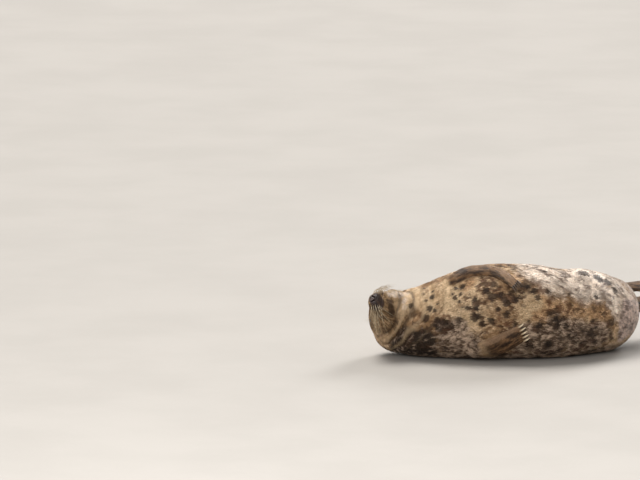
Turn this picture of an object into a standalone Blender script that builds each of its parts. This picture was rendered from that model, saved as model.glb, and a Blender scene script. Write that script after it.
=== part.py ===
"""A grey seal, an adult female, lying on her right side with her belly towards -Y and her nose up and to -X.

Metres, +Z up, the floor at z = 0, the origin under the middle of the whole animal.
The body, head and jaw are swept shapes, melted into one soft form with a flat underside.
That form is parted by thin cuts, and the flippers, tail, claws and eyes are fitted to it.
"""

import math
from collections import namedtuple

import bmesh
import bpy
import numpy as np
from mathutils import Matrix, Vector

# How the pieces meet.
GAP = 0.0004  # between pieces that touch
SINK = 0.013  # how far the soft body would sag below the floor, and is pressed flat instead
MIDDLE = Vector((0.1322, 0.1703, 0.0))  # the middle of the animal, before it is moved over the origin

# The body line, from the nape to the root of the hind flippers.
# x and y of the middle, half of the height, half of the depth, and how far the underside is off the floor.
BODY = {
    "nape": (-0.567, 0.038, 0.151, 0.127, 0.031),
    "throat": (-0.501, 0.036, 0.166, 0.156, 0.019),
    "neck_root": (-0.425, 0.026, 0.184, 0.181, 0.009),
    "shoulder": (-0.321, 0.009, 0.210, 0.207, 0.004),
    "chest": (-0.222, 0.000, 0.232, 0.225, 0.000),
    "ribs": (-0.104, -0.002, 0.245, 0.236, 0.000),
    "belly": (0.076, -0.004, 0.248, 0.240, 0.000),
    "flank": (0.194, 0.008, 0.245, 0.232, 0.000),
    "waist": (0.312, 0.047, 0.231, 0.218, 0.000),
    "hip": (0.421, 0.109, 0.227, 0.209, 0.000),
    "pelvis": (0.516, 0.187, 0.209, 0.200, 0.003),
    "rump": (0.578, 0.274, 0.175, 0.163, 0.031),
    "tail_root": (0.605, 0.364, 0.119, 0.109, 0.110),
    "stock_end": (0.627, 0.430, 0.081, 0.081, 0.166),
}
CUTS = (("neck", "shoulder"), ("chest", "ribs"), ("belly", "flank"), ("loin", "hip"))  # where each part ends
LAST_PART = "rump"
BODY_AROUND = 48
BODY_STEP = 0.028  # between sections
NAPE_DOME = {"reach": 0.090, "steps": 5}  # how far the rounded ends reach past the first and last sections
STOCK_DOME = {"reach": 0.043, "steps": 4}
DOME_FLAT = 0.35  # of a step is left flat at a dome's tip
OVAL = 2.0  # the power in a true oval's formula
LOWER_FULLNESS = 2.3  # the side that lies down is squarer than a true oval

# The head's own axes: nose is the way it points, left is her left, crown is up through the skull.
NOSE_TIP = Vector((-0.662, -0.137, 0.327))
NOSE = Vector((-0.30, -0.70, 0.65)).normalized()
LEFT_HINT = Vector((0.12, 0.66, 0.747))
LEFT = (LEFT_HINT - NOSE * LEFT_HINT.dot(NOSE)).normalized()
CROWN = NOSE.cross(LEFT)
HEAD_FRAME = Matrix((NOSE, LEFT, CROWN)).transposed()
HEAD_AROUND = 40
HEAD_STEPS = 3  # sections from one row to the next
# How far behind the nose, half of the width, height above the axis and depth below it.
# The last rows are the collar of fat that the head sits in.
HEAD = (
    (0.000, 0.025, 0.025, 0.017),
    (0.007, 0.040, 0.034, 0.028),
    (0.021, 0.050, 0.040, 0.036),
    (0.047, 0.055, 0.044, 0.041),
    (0.076, 0.057, 0.050, 0.044),
    (0.104, 0.066, 0.060, 0.052),
    (0.132, 0.082, 0.071, 0.066),
    (0.161, 0.097, 0.079, 0.084),
    (0.194, 0.108, 0.086, 0.100),
    (0.236, 0.115, 0.086, 0.112),
    (0.283, 0.125, 0.092, 0.123),
    (0.326, 0.110, 0.085, 0.112),
)
# The same for the lower jaw, then how far its middle lies under the head's axis.
JAW = (
    (0.023, 0.013, 0.011, 0.009, 0.034),
    (0.030, 0.029, 0.019, 0.017, 0.036),
    (0.052, 0.041, 0.023, 0.024, 0.040),
    (0.080, 0.049, 0.026, 0.030, 0.043),
    (0.113, 0.060, 0.030, 0.039, 0.047),
    (0.151, 0.076, 0.036, 0.049, 0.051),
    (0.189, 0.057, 0.028, 0.038, 0.053),
)
# Soft lumps on the head: place forward, left and up in the head's axes, then the three half sizes.
LUMPS = {
    "whisker_pad_left": ((-0.038, 0.028, -0.008), (0.034, 0.032, 0.031)),
    "whisker_pad_right": ((-0.038, -0.028, -0.008), (0.034, 0.032, 0.031)),
    "brow_left": ((-0.113, 0.043, 0.042), (0.028, 0.017, 0.014)),
    "brow_right": ((-0.113, -0.043, 0.042), (0.028, 0.017, 0.014)),
    "lip_left": ((-0.080, 0.049, -0.032), (0.057, 0.030, 0.038)),
    "lip_right": ((-0.080, -0.049, -0.032), (0.057, 0.025, 0.034)),
    "jowl_left": ((-0.175, 0.078, -0.049), (0.095, 0.059, 0.068)),
    "jowl_right": ((-0.165, -0.066, -0.032), (0.080, 0.045, 0.064)),
}
NOSE_PAD = {"place": (-0.004, 0.0, 0.008), "radii": (0.012, 0.030, 0.024)}
MOUTH = {"up": -0.038, "slant": 4.0, "back": 0.095, "ahead": 0.05, "half_width": 0.064, "deep": 0.087}
EYE = {"radius": 0.0195, "shows": 0.0048, "behind": 0.118, "out": 0.80, "up": 0.60}
HEAD_END = 0.213  # how far behind the nose the head is cut from the neck
RIM_STEP = 0.020  # between the points round a cut
MELT = {"voxel": 0.010, "rounds": 5, "faces": 4000}  # how the shapes are melted into one

# Flippers: the line from inside the body to the fingertips, then half of the width and of the thickness
# at even steps along it.
FORE_LINES = {
    "left": (
        (-0.298, -0.080, 0.364),
        (-0.234, -0.094, 0.427),
        (-0.161, -0.078, 0.462),
        (-0.083, -0.093, 0.469),
        (-0.016, -0.118, 0.459),
        (0.028, -0.161, 0.439),
        (0.064, -0.197, 0.411),
    ),
    "right": (
        (-0.161, -0.151, 0.047),
        (-0.083, -0.194, 0.062),
        (-0.021, -0.221, 0.088),
        (0.030, -0.238, 0.120),
        (0.068, -0.249, 0.143),
        (0.095, -0.254, 0.159),
    ),
}
FORE_WIDTHS = {
    "left": (0.038, 0.043, 0.046, 0.045, 0.041, 0.035, 0.028),  # the digits of this one are drawn together
    "right": (0.047, 0.057, 0.062, 0.062, 0.059, 0.057, 0.051),
}
FORE_THICKNESSES = (0.034, 0.028, 0.021, 0.017, 0.014, 0.011, 0.007)
FORE_END = {"slope": 0.010, "round": 0.006}  # the first digit reaches furthest and the last is the shortest
FORE_SCALLOP = 0.012  # how far the digits reach past the web between them
FORE_HUG = 0.24  # the radius of the body that a flipper is curved round
FORE_CLAW = {"length": 0.030, "radius": 0.0043, "curl": 0.22}
HIND_LINES = {
    "left": (
        (0.597, 0.378, 0.257),
        (0.631, 0.433, 0.274),
        (0.690, 0.465, 0.280),
        (0.764, 0.484, 0.283),
        (0.839, 0.499, 0.283),
        (0.898, 0.508, 0.280),
    ),
    "right": (
        (0.597, 0.373, 0.213),
        (0.631, 0.427, 0.194),
        (0.688, 0.461, 0.181),
        (0.756, 0.482, 0.174),
        (0.824, 0.501, 0.163),
        (0.879, 0.515, 0.151),
    ),
}
HIND_FACING = {"left": (0.10, -0.22, 0.97), "right": (0.10, 0.50, -0.86)}  # the way each outer side faces
HIND_WIDTHS = (0.043, 0.043, 0.047, 0.062, 0.081, 0.095, 0.102)
HIND_THICKNESSES = (0.034, 0.026, 0.018, 0.014, 0.011, 0.009, 0.006)
HIND_END = 0.042  # how far the first and fifth digits reach past the middle one
HIND_SCALLOP = 0.016
HIND_HUG = 0.30
HIND_CLAW = {"length": 0.017, "radius": 0.0030, "curl": 0.10}
DIGITS = (-0.8, -0.4, 0.0, 0.4, 0.8)  # where the five digits run, as shares of the half width
RIBS = 5 * math.pi  # makes a wave over the half width that peaks at each digit
FLIPPER_STEPS = 10
FLIPPER_SHARES = (1.0, 0.93, 0.8, 0.6, 0.4, 0.2, 0.0, -0.2, -0.4, -0.6, -0.8, -0.93, -1.0)
PALM = 0.45  # the share of a flipper before its digits show
SPREAD_POWER = 1.5  # how late the end's outline starts to show along the flipper
RIDGE = 0.22  # how much thicker a digit is than the web
EDGE_FULLNESS = 0.42  # 0.5 is a true oval across a flipper
BLUNT_END = 0.6
CLAW_STATIONS = ((0.0, 0.9), (0.35, 1.0), (0.7, 0.65), (1.0, 0.15))  # shares of the length and of the radius
CLAW_AROUND = 6
CLAW_DEPTH = 1.3  # a claw is deeper than it is wide
CLAW_SET_BACK = 0.012  # how far behind the digit's end the claw's root lies
CLAW_LIFT = 1.1  # the root's middle, in half thicknesses above the flipper's middle
CLAW_FAN = 0.12

TAIL_STEPS = 8
TAIL_AROUND = 12
TAIL_LINE = ((0.602, 0.397, 0.236), (0.620, 0.455, 0.236), (0.643, 0.501, 0.234), (0.666, 0.539, 0.229))
TAIL_WIDTHS = (0.032, 0.028, 0.022, 0.011)
TAIL_THICKNESSES = (0.021, 0.017, 0.012, 0.007)

COLOURS = {  # base colour and roughness
    "coat": ((0.42, 0.32, 0.22, 1.0), 0.75),
    "nose": ((0.035, 0.030, 0.030, 1.0), 0.45),
    "eye": ((0.012, 0.008, 0.006, 1.0), 0.08),
    "claw": ((0.30, 0.24, 0.17, 1.0), 0.40),
}


# One flipper: its line, its half widths and thicknesses, a function that says which way it faces at a place,
# a function for the outline of its end, how deep that end is scalloped and how it curves round the body.
Flipper = namedtuple("Flipper", "line widths thicknesses facing end_rule scallop hug")


def clear_scene():
    for obj in list(bpy.data.objects):
        bpy.data.objects.remove(obj, do_unlink=True)


def finish(name):
    """The material of this name, made once."""
    made = bpy.data.materials.get(name)
    if made:
        return made
    colour, roughness = COLOURS[name]
    made = bpy.data.materials.new(name)
    made.use_nodes = True
    shader = made.node_tree.nodes["Principled BSDF"]
    shader.inputs["Base Color"].default_value = colour
    shader.inputs["Roughness"].default_value = roughness
    return made


class Line:
    """A smooth curve through rows. The first `places` numbers of a row say how far apart rows are."""

    LOOK = 0.004  # how far to each side the heading is taken over

    def __init__(self, rows, places=3):
        self.rows = np.array(rows, float)
        steps = np.linalg.norm(np.diff(self.rows[:, :places], axis=0), axis=1)
        self.knots = np.concatenate([[0.0], np.cumsum(steps)])
        self.slopes = np.gradient(self.rows, self.knots, axis=0)
        self.length = float(self.knots[-1])

    def at(self, run):
        """The row at this length along the curve."""
        k = int(np.clip(np.searchsorted(self.knots, run) - 1, 0, len(self.knots) - 2))
        span = self.knots[k + 1] - self.knots[k]
        u = (run - self.knots[k]) / span
        start, end = self.rows[k], self.rows[k + 1]
        return (
            (2 * u**3 - 3 * u**2 + 1) * start
            + (u**3 - 2 * u**2 + u) * span * self.slopes[k]
            + (3 * u**2 - 2 * u**3) * end
            + (u**3 - u**2) * span * self.slopes[k + 1]
        )

    def heading(self, run, places=3):
        """Which way the curve runs at this length along it."""
        ahead = self.at(min(run + self.LOOK, self.length))[:places]
        behind = self.at(max(run - self.LOOK, 0.0))[:places]
        way = (ahead - behind) / np.linalg.norm(ahead - behind)
        return Vector((*way, *[0.0] * (3 - places)))


BODY_LINE = Line(list(BODY.values()), places=2)


def put_in_scene(name, mesh, slot):
    """Moves a bmesh over the origin and turns it into an object."""
    bmesh.ops.translate(mesh, verts=mesh.verts, vec=-MIDDLE)
    data = bpy.data.meshes.new(name)
    mesh.to_mesh(data)
    mesh.free()
    data.shade_smooth()
    data.materials.append(finish(slot))
    obj = bpy.data.objects.new(name, data)
    bpy.context.scene.collection.objects.link(obj)
    return obj


def sweep(name, sections, slot, flat_end=False):
    """A closed solid through sections that have the same number of points, each going round the same way."""
    mesh = bmesh.new()
    rings = [[mesh.verts.new(p) for p in section] for section in sections]
    around = len(rings[0])
    for one, two in zip(rings, rings[1:]):
        for k in range(around):
            n = (k + 1) % around
            mesh.faces.new((one[k], one[n], two[n], two[k]))
    mesh.faces.new(list(reversed(rings[0])))
    last = rings[-1]
    if flat_end:  # a thin end is closed from its upper side straight to its lower side
        half = around // 2
        mesh.faces.new((last[0], last[1], last[around - 1]))
        for k in range(1, half - 1):
            mesh.faces.new((last[k], last[k + 1], last[around - k - 1], last[around - k]))
        mesh.faces.new((last[half - 1], last[half], last[half + 1]))
    else:
        mesh.faces.new(last)
    bmesh.ops.remove_doubles(mesh, verts=mesh.verts, dist=1e-6)
    bmesh.ops.dissolve_degenerate(mesh, edges=mesh.edges, dist=1e-6)
    bmesh.ops.recalc_face_normals(mesh, faces=mesh.faces)
    return put_in_scene(name, mesh, slot)


def egg(name, middle, radii, slot, segments=16, rings=10):
    """An egg or ball from Blender's sphere, along the head's axes."""
    mesh = bmesh.new()
    bmesh.ops.create_uvsphere(mesh, u_segments=segments, v_segments=rings, radius=1.0)
    placed = Matrix.Translation(middle) @ HEAD_FRAME.to_4x4() @ Matrix.Diagonal(radii).to_4x4()
    bmesh.ops.transform(mesh, matrix=placed, verts=mesh.verts)
    return put_in_scene(name, mesh, slot)


def as_cutter(obj):
    obj.hide_render = True
    obj.display_type = "WIRE"
    return obj


def boolean(obj, operation, other):
    fit = obj.modifiers.new(operation.lower() + "_" + other.name, "BOOLEAN")
    fit.operation = operation
    fit.solver = "EXACT"
    fit.object = as_cutter(other)


def applied(obj):
    """Puts what an object's modifiers make in its mesh."""
    made = bpy.data.meshes.new_from_object(obj.evaluated_get(bpy.context.evaluated_depsgraph_get()))
    obj.modifiers.clear()
    obj.data = made
    return obj


def station(name):
    """How far along the body line a named section is."""
    return float(BODY_LINE.knots[list(BODY).index(name)])


def body_section(run, shrink=1.0, shift=0.0):
    """The upright section of the body at this length, made smaller and moved along for a dome."""
    x, y, half_height, half_depth, lift = BODY_LINE.at(run)
    ahead = BODY_LINE.heading(run, places=2)
    to_back = Vector((-ahead.y, ahead.x, 0.0))
    middle = Vector((x, y, half_height - SINK + lift)) + ahead * shift
    points = []
    for k in range(BODY_AROUND):
        turn = 2 * math.pi * k / BODY_AROUND
        c, s = math.cos(turn), math.sin(turn)
        fullness = LOWER_FULLNESS if s < 0 else OVAL
        across = math.copysign(abs(c) ** (2 / fullness), c) * half_depth * shrink
        up = math.copysign(abs(s) ** (2 / fullness), s) * half_height * shrink
        points.append(middle + to_back * across + Vector((0.0, 0.0, up)))
    return points


def dome(run, way, reach, steps):
    """Sections that close an end of the body, from the fullest to the smallest. way is -1 at the front."""
    made = []
    for k in range(1, steps + 1):
        turn = 0.5 * math.pi * k / (steps + DOME_FLAT)
        made.append(body_section(run, math.cos(turn), way * math.sin(turn) * reach))
    return made


def body_shell():
    steps = round(BODY_LINE.length / BODY_STEP)
    sections = dome(0.0, -1, **NAPE_DOME)[::-1]
    sections += [body_section(BODY_LINE.length * k / steps) for k in range(steps + 1)]
    sections += dome(BODY_LINE.length, 1, **STOCK_DOME)
    return sweep("body_shell", sections, "coat")


def in_head(forward, left, up):
    """A place in the head's own axes, counted from the nose tip."""
    return NOSE_TIP + HEAD_FRAME @ Vector((forward, left, up))


def head_shell(name, rows):
    """Egg-shaped sections along the head's axis, smoothed between the rows."""
    line = Line(rows, places=1)
    steps = HEAD_STEPS * (len(rows) - 1)
    sections = []
    for step in range(steps + 1):
        behind, half_width, above, below, *drop = line.at(line.length * step / steps)
        section = []
        for k in range(HEAD_AROUND):
            turn = 2 * math.pi * k / HEAD_AROUND
            up = math.sin(turn) * (above if math.sin(turn) > 0 else below) - sum(drop)
            section.append(in_head(-behind, half_width * math.cos(turn), up))
        sections.append(section)
    return sweep(name, sections, "coat")


def melted(shells):
    """One soft, closed form from overlapping shapes, pressed flat on the floor."""
    mesh = bmesh.new()
    for shell in shells:
        mesh.from_mesh(shell.data)
        bpy.data.objects.remove(shell)
    bmesh.ops.translate(mesh, verts=mesh.verts, vec=MIDDLE)
    whole = put_in_scene("whole", mesh, "coat")
    remesh = whole.modifiers.new("melt", "REMESH")
    remesh.mode = "VOXEL"
    remesh.voxel_size = MELT["voxel"]
    soften = whole.modifiers.new("soften", "SMOOTH")
    soften.iterations = MELT["rounds"]
    applied(whole)
    thin_out = whole.modifiers.new("thin_out", "DECIMATE")
    thin_out.ratio = MELT["faces"] / (2 * len(whole.data.polygons))
    applied(whole)
    for vertex in whole.data.vertices:
        vertex.co.z = max(vertex.co.z, 0.0)
    whole.data.shade_smooth()
    return whole


def grown(obj):
    """A copy of a form, a gap larger, to fit its neighbours to."""
    cutter = obj.copy()
    cutter.name = obj.name + "_cutter"
    bpy.context.scene.collection.objects.link(cutter)
    swell = cutter.modifiers.new("swell", "DISPLACE")
    swell.strength = 1.5 * GAP  # a thin edge's corners give less than this across its faces
    swell.mid_level = 0.0
    return as_cutter(applied(cutter))


def sliced(obj, name, place, way):
    """Parts obj by a thin cut through place. What lies beyond it, along way, becomes a new object."""
    pieces = []
    for normal in (way, -way):
        mesh = bmesh.new()
        mesh.from_mesh(obj.data)
        geometry = [*mesh.verts, *mesh.edges, *mesh.faces]
        edge = place - MIDDLE - normal * GAP / 2
        bmesh.ops.bisect_plane(mesh, geom=geometry, plane_co=edge, plane_no=normal, clear_outer=True, dist=1e-6)
        rim = {v for e in mesh.edges if e.is_boundary for v in e.verts}
        bmesh.ops.remove_doubles(mesh, verts=list(rim), dist=RIM_STEP)
        bmesh.ops.holes_fill(mesh, edges=[e for e in mesh.edges if e.is_boundary], sides=0)
        bmesh.ops.recalc_face_normals(mesh, faces=mesh.faces)
        pieces.append(mesh)
    near, beyond = pieces
    near.to_mesh(obj.data)
    near.free()
    bmesh.ops.translate(beyond, verts=beyond.verts, vec=MIDDLE)
    return put_in_scene(name, beyond, "coat")


def let_in(obj, name, room, larger_room, slot):
    """What obj has inside room becomes a new object, and obj loses what is inside the larger room."""
    piece = obj.copy()
    piece.data = obj.data.copy()
    piece.name = name
    bpy.context.scene.collection.objects.link(piece)
    boolean(piece, "INTERSECT", room)
    boolean(obj, "DIFFERENCE", larger_room)
    applied(piece)
    applied(obj)
    piece.data.materials.clear()
    piece.data.materials.append(finish(slot))


def make_body():
    """The parts from the head to the rump, and the whole form, for fitting others to it."""
    shells = [body_shell(), head_shell("head_shell", HEAD), head_shell("jaw_shell", JAW)]
    for name, (place, radii) in LUMPS.items():
        shells.append(egg(name, in_head(*place), radii, "coat"))
    rest = melted(shells)
    whole = grown(rest)
    for name, end in CUTS:
        run = station(end)
        place = Vector((*BODY_LINE.at(run)[:2], 0.0))
        beyond = sliced(rest, "beyond", place, BODY_LINE.heading(run, places=2))
        rest.name = name
        rest = beyond
    rest.name = LAST_PART
    to_front = Vector((-1.0, 0.0, 0.0))
    sliced(bpy.data.objects["neck"], "head", in_head(-HEAD_END, 0.0, 0.0), (NOSE + to_front).normalized())
    return whole


def box(name, low, high, frame):
    """A box between two corners, along the axes of frame."""
    mesh = bmesh.new()
    bmesh.ops.create_cube(mesh, size=1.0)
    placed = frame @ Matrix.Translation((low + high) / 2) @ Matrix.Diagonal(high - low).to_4x4()
    bmesh.ops.transform(mesh, matrix=placed, verts=mesh.verts)
    return put_in_scene(name, mesh, "coat")


def make_face(whole):
    """The jaw, nose pad and eyes, each let into the head."""
    head = bpy.data.objects["head"]
    slant = Matrix.Rotation(math.radians(MOUTH["slant"]), 4, "Y")
    frame = Matrix.Translation(NOSE_TIP) @ HEAD_FRAME.to_4x4() @ slant
    low = Vector((-MOUTH["back"], -MOUTH["half_width"], -MOUTH["deep"]))
    high = Vector((MOUTH["ahead"], MOUTH["half_width"], MOUTH["up"]))
    gap = Vector((GAP, GAP, GAP))
    room = box("jaw_room", low, high, frame)
    let_in(head, "jaw", room, box("jaw_cut", low - gap, high + gap, frame), "coat")

    place = in_head(*NOSE_PAD["place"])
    room = egg("pad_room", place, NOSE_PAD["radii"], "nose")
    larger = [radius + GAP for radius in NOSE_PAD["radii"]]
    let_in(head, "nose_pad", room, egg("pad_cut", place, larger, "nose"), "nose")

    start = in_head(-EYE["behind"], 0.0, 0.0) - MIDDLE
    for side, way in (("left", 1), ("right", -1)):
        look = (HEAD_FRAME @ Vector((0.0, way * EYE["out"], EYE["up"]))).normalized()
        surface = whole.ray_cast(start, look)[1] + MIDDLE
        middle = surface - look * (EYE["radius"] - EYE["shows"])
        egg("eye_" + side, middle, [EYE["radius"]] * 3, "eye", 12, 8)
        boolean(head, "DIFFERENCE", egg("socket_" + side, middle, [EYE["radius"] + GAP] * 3, "eye", 12, 8))


def on_floor(point):
    return Vector((point.x, point.y, max(point.z, 0.0)))


def outward(point):
    """The way straight out of the body's side, next to this place."""
    rows = np.array([BODY_LINE.at(run) for run in np.linspace(0.0, BODY_LINE.length, 200)])
    x, y, half_height, half_depth, lift = rows[np.abs(rows[:, 0] - point.x).argmin()]
    height = half_height - SINK + lift
    return Vector((0.0, (point.y - y) / half_depth**2, (point.z - height) / half_height**2)).normalized()


def reach_past(flipper, share):
    """How far the flipper's end reaches past its line's end, at this share of its half width."""
    return flipper.end_rule(share) + 0.5 * flipper.scallop * (1 + math.cos(RIBS * share))


def square_axes(flipper, place, ahead):
    """The way the flipper faces here, square to the way it runs, and the way to its side."""
    normal = flipper.facing(place)
    normal = (normal - ahead * normal.dot(ahead)).normalized()
    return normal, normal.cross(ahead)


def flipper_sections(flipper):
    """Flat sections along a flipper, rounded at the sides, with a ridge along each digit."""
    line = Line(flipper.line)
    widths = [(k, *pair) for k, pair in enumerate(zip(flipper.widths, flipper.thicknesses))]
    sizes = Line(widths, places=1)
    sections = []
    for step in range(FLIPPER_STEPS + 1):
        part = step / FLIPPER_STEPS
        middle = Vector(line.at(line.length * part))
        ahead = line.heading(line.length * part)
        normal, side = square_axes(flipper, middle, ahead)
        half_width, half_thickness = sizes.at(sizes.length * part)[1:]
        spread = max(0.0, part - PALM) / (1 - PALM)
        blunt = BLUNT_END if step == FLIPPER_STEPS else 1.0
        upper, lower = [], []
        for share in FLIPPER_SHARES:
            ridge = 1 + RIDGE * spread * math.cos(RIBS * share)
            thick = half_thickness * (1 - share**2) ** EDGE_FULLNESS * ridge * blunt
            place = middle + side * share * half_width
            place += ahead * reach_past(flipper, share) * spread**SPREAD_POWER
            place -= normal * (share * half_width) ** 2 / (2 * flipper.hug)
            upper.append(on_floor(place + normal * thick))
            lower.append(on_floor(place - normal * thick))
        # The two side edges are single points, half way between the faces.
        edges = [(upper[k] + lower[k]) / 2 for k in (0, -1)]
        sections.append([edges[0], *upper[1:-1], edges[1], *reversed(lower[1:-1])])
    return sections


def claw_sections(root, ahead, normal, claw):
    """A curved, tapering claw of round sections, from its root to a blunt point."""
    side = normal.cross(ahead)
    sections = []
    for part, size in CLAW_STATIONS:
        middle = root + ahead * claw["length"] * part - normal * claw["curl"] * part**2 * claw["length"]
        radius = claw["radius"] * size
        ring = []
        for k in range(CLAW_AROUND):
            turn = 2 * math.pi * k / CLAW_AROUND
            offset = side * radius * math.cos(turn) + normal * radius * CLAW_DEPTH * math.sin(turn)
            ring.append(on_floor(middle + offset))
        sections.append(ring)
    return sections


def make_flipper(name, flipper, claw, body, *others):
    """One flipper and its five claws, fitted to the body and to any others. Returns its cutter."""
    made = sweep(name, flipper_sections(flipper), "coat", flat_end=True)
    for other in (body, *others):
        boolean(made, "DIFFERENCE", other)
    cutter = grown(applied(made))
    line = Line(flipper.line)
    end = Vector(line.at(line.length))
    ahead = line.heading(line.length)
    normal, side = square_axes(flipper, end, ahead)
    for k, share in enumerate(DIGITS):
        across = share * flipper.widths[-1]
        root = end + side * across + ahead * (reach_past(flipper, share) - CLAW_SET_BACK)
        root += normal * (flipper.thicknesses[-1] * CLAW_LIFT - across**2 / (2 * flipper.hug))
        fan = (ahead + side * share * CLAW_FAN).normalized()
        nail = sweep(f"{name}_claw_{k + 1}", claw_sections(root, fan, normal, claw), "claw")
        boolean(nail, "DIFFERENCE", cutter)
        boolean(nail, "DIFFERENCE", body)
    return cutter


def make_flippers(body, tail):
    for side, line in FORE_LINES.items():
        way = 1 if side == "right" else -1  # the first digit lies towards the belly on both

        def fore_end(share, way=way):
            return FORE_END["slope"] * (1 + way * share) - FORE_END["round"] * share**2

        sizes = (FORE_WIDTHS[side], FORE_THICKNESSES)
        flipper = Flipper(line, *sizes, outward, fore_end, FORE_SCALLOP, FORE_HUG)
        make_flipper("foreflipper_" + side, flipper, FORE_CLAW, body)

    def hind_end(share):
        return HIND_END * share**2

    fitted = [tail]
    for side, line in HIND_LINES.items():

        def facing(place, way=HIND_FACING[side]):
            return Vector(way)

        flipper = Flipper(line, HIND_WIDTHS, HIND_THICKNESSES, facing, hind_end, HIND_SCALLOP, HIND_HUG)
        fitted.append(make_flipper("hindflipper_" + side, flipper, HIND_CLAW, body, *fitted))


def make_tail(body):
    """A short, flat tail between the hind flippers, wide from side to side of her. Returns its cutter."""
    line = Line([(*place, w, t) for place, w, t in zip(TAIL_LINE, TAIL_WIDTHS, TAIL_THICKNESSES)])
    sections = []
    for step in range(TAIL_STEPS + 1):
        run = line.length * step / TAIL_STEPS
        *middle, half_width, half_thickness = line.at(run)
        ahead = line.heading(run)
        upright = (Vector((0, 0, 1)) - ahead * ahead.z).normalized()
        side = ahead.cross(upright)
        ring = []
        for k in range(TAIL_AROUND):
            turn = 2 * math.pi * k / TAIL_AROUND
            offset = upright * half_width * math.cos(turn) + side * half_thickness * math.sin(turn)
            ring.append(Vector(middle) + offset)
        sections.append(ring)
    tail = sweep("tail", sections, "coat")
    boolean(tail, "DIFFERENCE", body)
    return grown(applied(tail))


def main():
    clear_scene()
    whole = make_body()
    make_face(whole)
    make_flippers(whole, make_tail(whole))


main()
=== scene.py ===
import math
import time

import bpy
import numpy as np
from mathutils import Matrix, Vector
from mathutils.bvhtree import BVHTree


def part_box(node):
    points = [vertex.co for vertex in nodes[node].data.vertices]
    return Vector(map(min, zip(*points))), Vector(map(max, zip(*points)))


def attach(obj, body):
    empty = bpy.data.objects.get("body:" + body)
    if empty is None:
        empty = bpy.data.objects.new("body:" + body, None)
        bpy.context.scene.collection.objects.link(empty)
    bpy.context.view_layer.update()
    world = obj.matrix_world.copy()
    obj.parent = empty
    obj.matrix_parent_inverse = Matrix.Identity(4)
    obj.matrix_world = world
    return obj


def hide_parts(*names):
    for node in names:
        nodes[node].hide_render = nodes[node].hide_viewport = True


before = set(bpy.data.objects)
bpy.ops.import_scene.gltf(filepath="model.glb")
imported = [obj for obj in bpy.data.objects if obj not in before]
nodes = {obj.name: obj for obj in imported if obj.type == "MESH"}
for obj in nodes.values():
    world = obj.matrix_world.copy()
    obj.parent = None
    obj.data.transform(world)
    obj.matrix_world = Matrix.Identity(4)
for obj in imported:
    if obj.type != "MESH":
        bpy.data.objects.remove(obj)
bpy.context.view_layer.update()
started = time.perf_counter()
bpy.ops.object.select_all(action="DESELECT")


def say(words):
    print(f"{time.perf_counter() - started:6.1f} s  {words}")


# small helpers on arrays of points

def unit(vectors):
    vectors = np.asarray(vectors, float)
    return vectors / np.maximum(np.linalg.norm(vectors, axis=-1, keepdims=True), 1e-12)


def ease(low, high, value):
    t = np.clip((value - low) / (high - low), 0, 1)
    return t * t * (3 - 2 * t)


def bump(value, width):
    return np.exp(-((value / width) ** 2))


def ripple(points, size, seed):
    # smooth, even noise from a few waves that run different ways, about -1 to 1
    draw = np.random.default_rng(seed)
    total = np.zeros(len(points))
    for _ in range(7):
        way = unit(draw.normal(size=3))
        total += np.sin(points @ way * (2 * math.pi / (size * draw.uniform(0.7, 1.5))) + draw.uniform(0, 7))
    return total / 3.2


def lengths(vectors):
    return np.linalg.norm(vectors, axis=1)


def readOut(items, name, size, kind=float):
    # one value of each item of a mesh, in rows of this size
    values = np.empty(len(items) * size, kind)
    items.foreach_get(name, values)
    return values.reshape(-1, size)


def placesOf(obj):
    return readOut(obj.data.vertices, "co", 3)


def setPlaces(obj, places):
    obj.data.vertices.foreach_set("co", places.astype(np.float32).ravel())
    obj.data.update()


def normalsOf(obj):
    return readOut(obj.data.vertex_normals, "vector", 3, np.float32).astype(float)


def trianglesOf(obj):
    obj.data.calc_loop_triangles()
    return obj.data.loop_triangles


def placed(name, data):
    # a new object at the origin that shows this mesh, light or camera
    made = bpy.data.objects.new(name, data)
    bpy.context.scene.collection.objects.link(made)
    return made


def justAdded(name):
    # the object that was added last, named, with its place and turn written into its mesh
    made = bpy.context.active_object
    made.name = name
    bpy.ops.object.transform_apply(location=True, rotation=True, scale=True)
    return made


def soften(obj, weight, rounds):
    # each point moves towards the mean of its neighbours, by its weight
    places, edges = placesOf(obj), readOut(obj.data.edges, "vertices", 2, np.int32)
    start, end = np.concatenate([edges, edges[:, ::-1]]).T
    count = np.maximum(np.bincount(start, minlength=len(places)), 1)[:, None]
    for _ in range(rounds):
        total = np.stack([np.bincount(start, places[end, k], len(places)) for k in range(3)], axis=1)
        places += (total / count - places) * np.reshape(weight, (-1, 1))
    setPlaces(obj, places)


def useModifier(obj, kind, **settings):
    bpy.context.view_layer.objects.active = obj
    modifier = obj.modifiers.new(kind.lower(), kind)
    for name, value in settings.items():
        setattr(modifier, name, value)
    bpy.ops.object.modifier_apply(modifier=modifier.name)


def joinedCopies(names, newName):
    # one new object from copies of these frame nodes, with their loose triangles merged
    bpy.ops.object.select_all(action="DESELECT")
    for name in names:
        piece = placed(newName, nodes[name].data.copy())
        piece.data.materials.clear()
        piece.select_set(True)
        bpy.context.view_layer.objects.active = piece
    if len(names) > 1:
        bpy.ops.object.join()
    made = bpy.context.view_layer.objects.active
    made.name = newName
    bpy.ops.object.mode_set(mode="EDIT")
    bpy.ops.mesh.select_all(action="SELECT")
    bpy.ops.mesh.remove_doubles(threshold=1e-5)
    bpy.ops.object.mode_set(mode="OBJECT")
    made.select_set(False)
    return made


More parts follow.
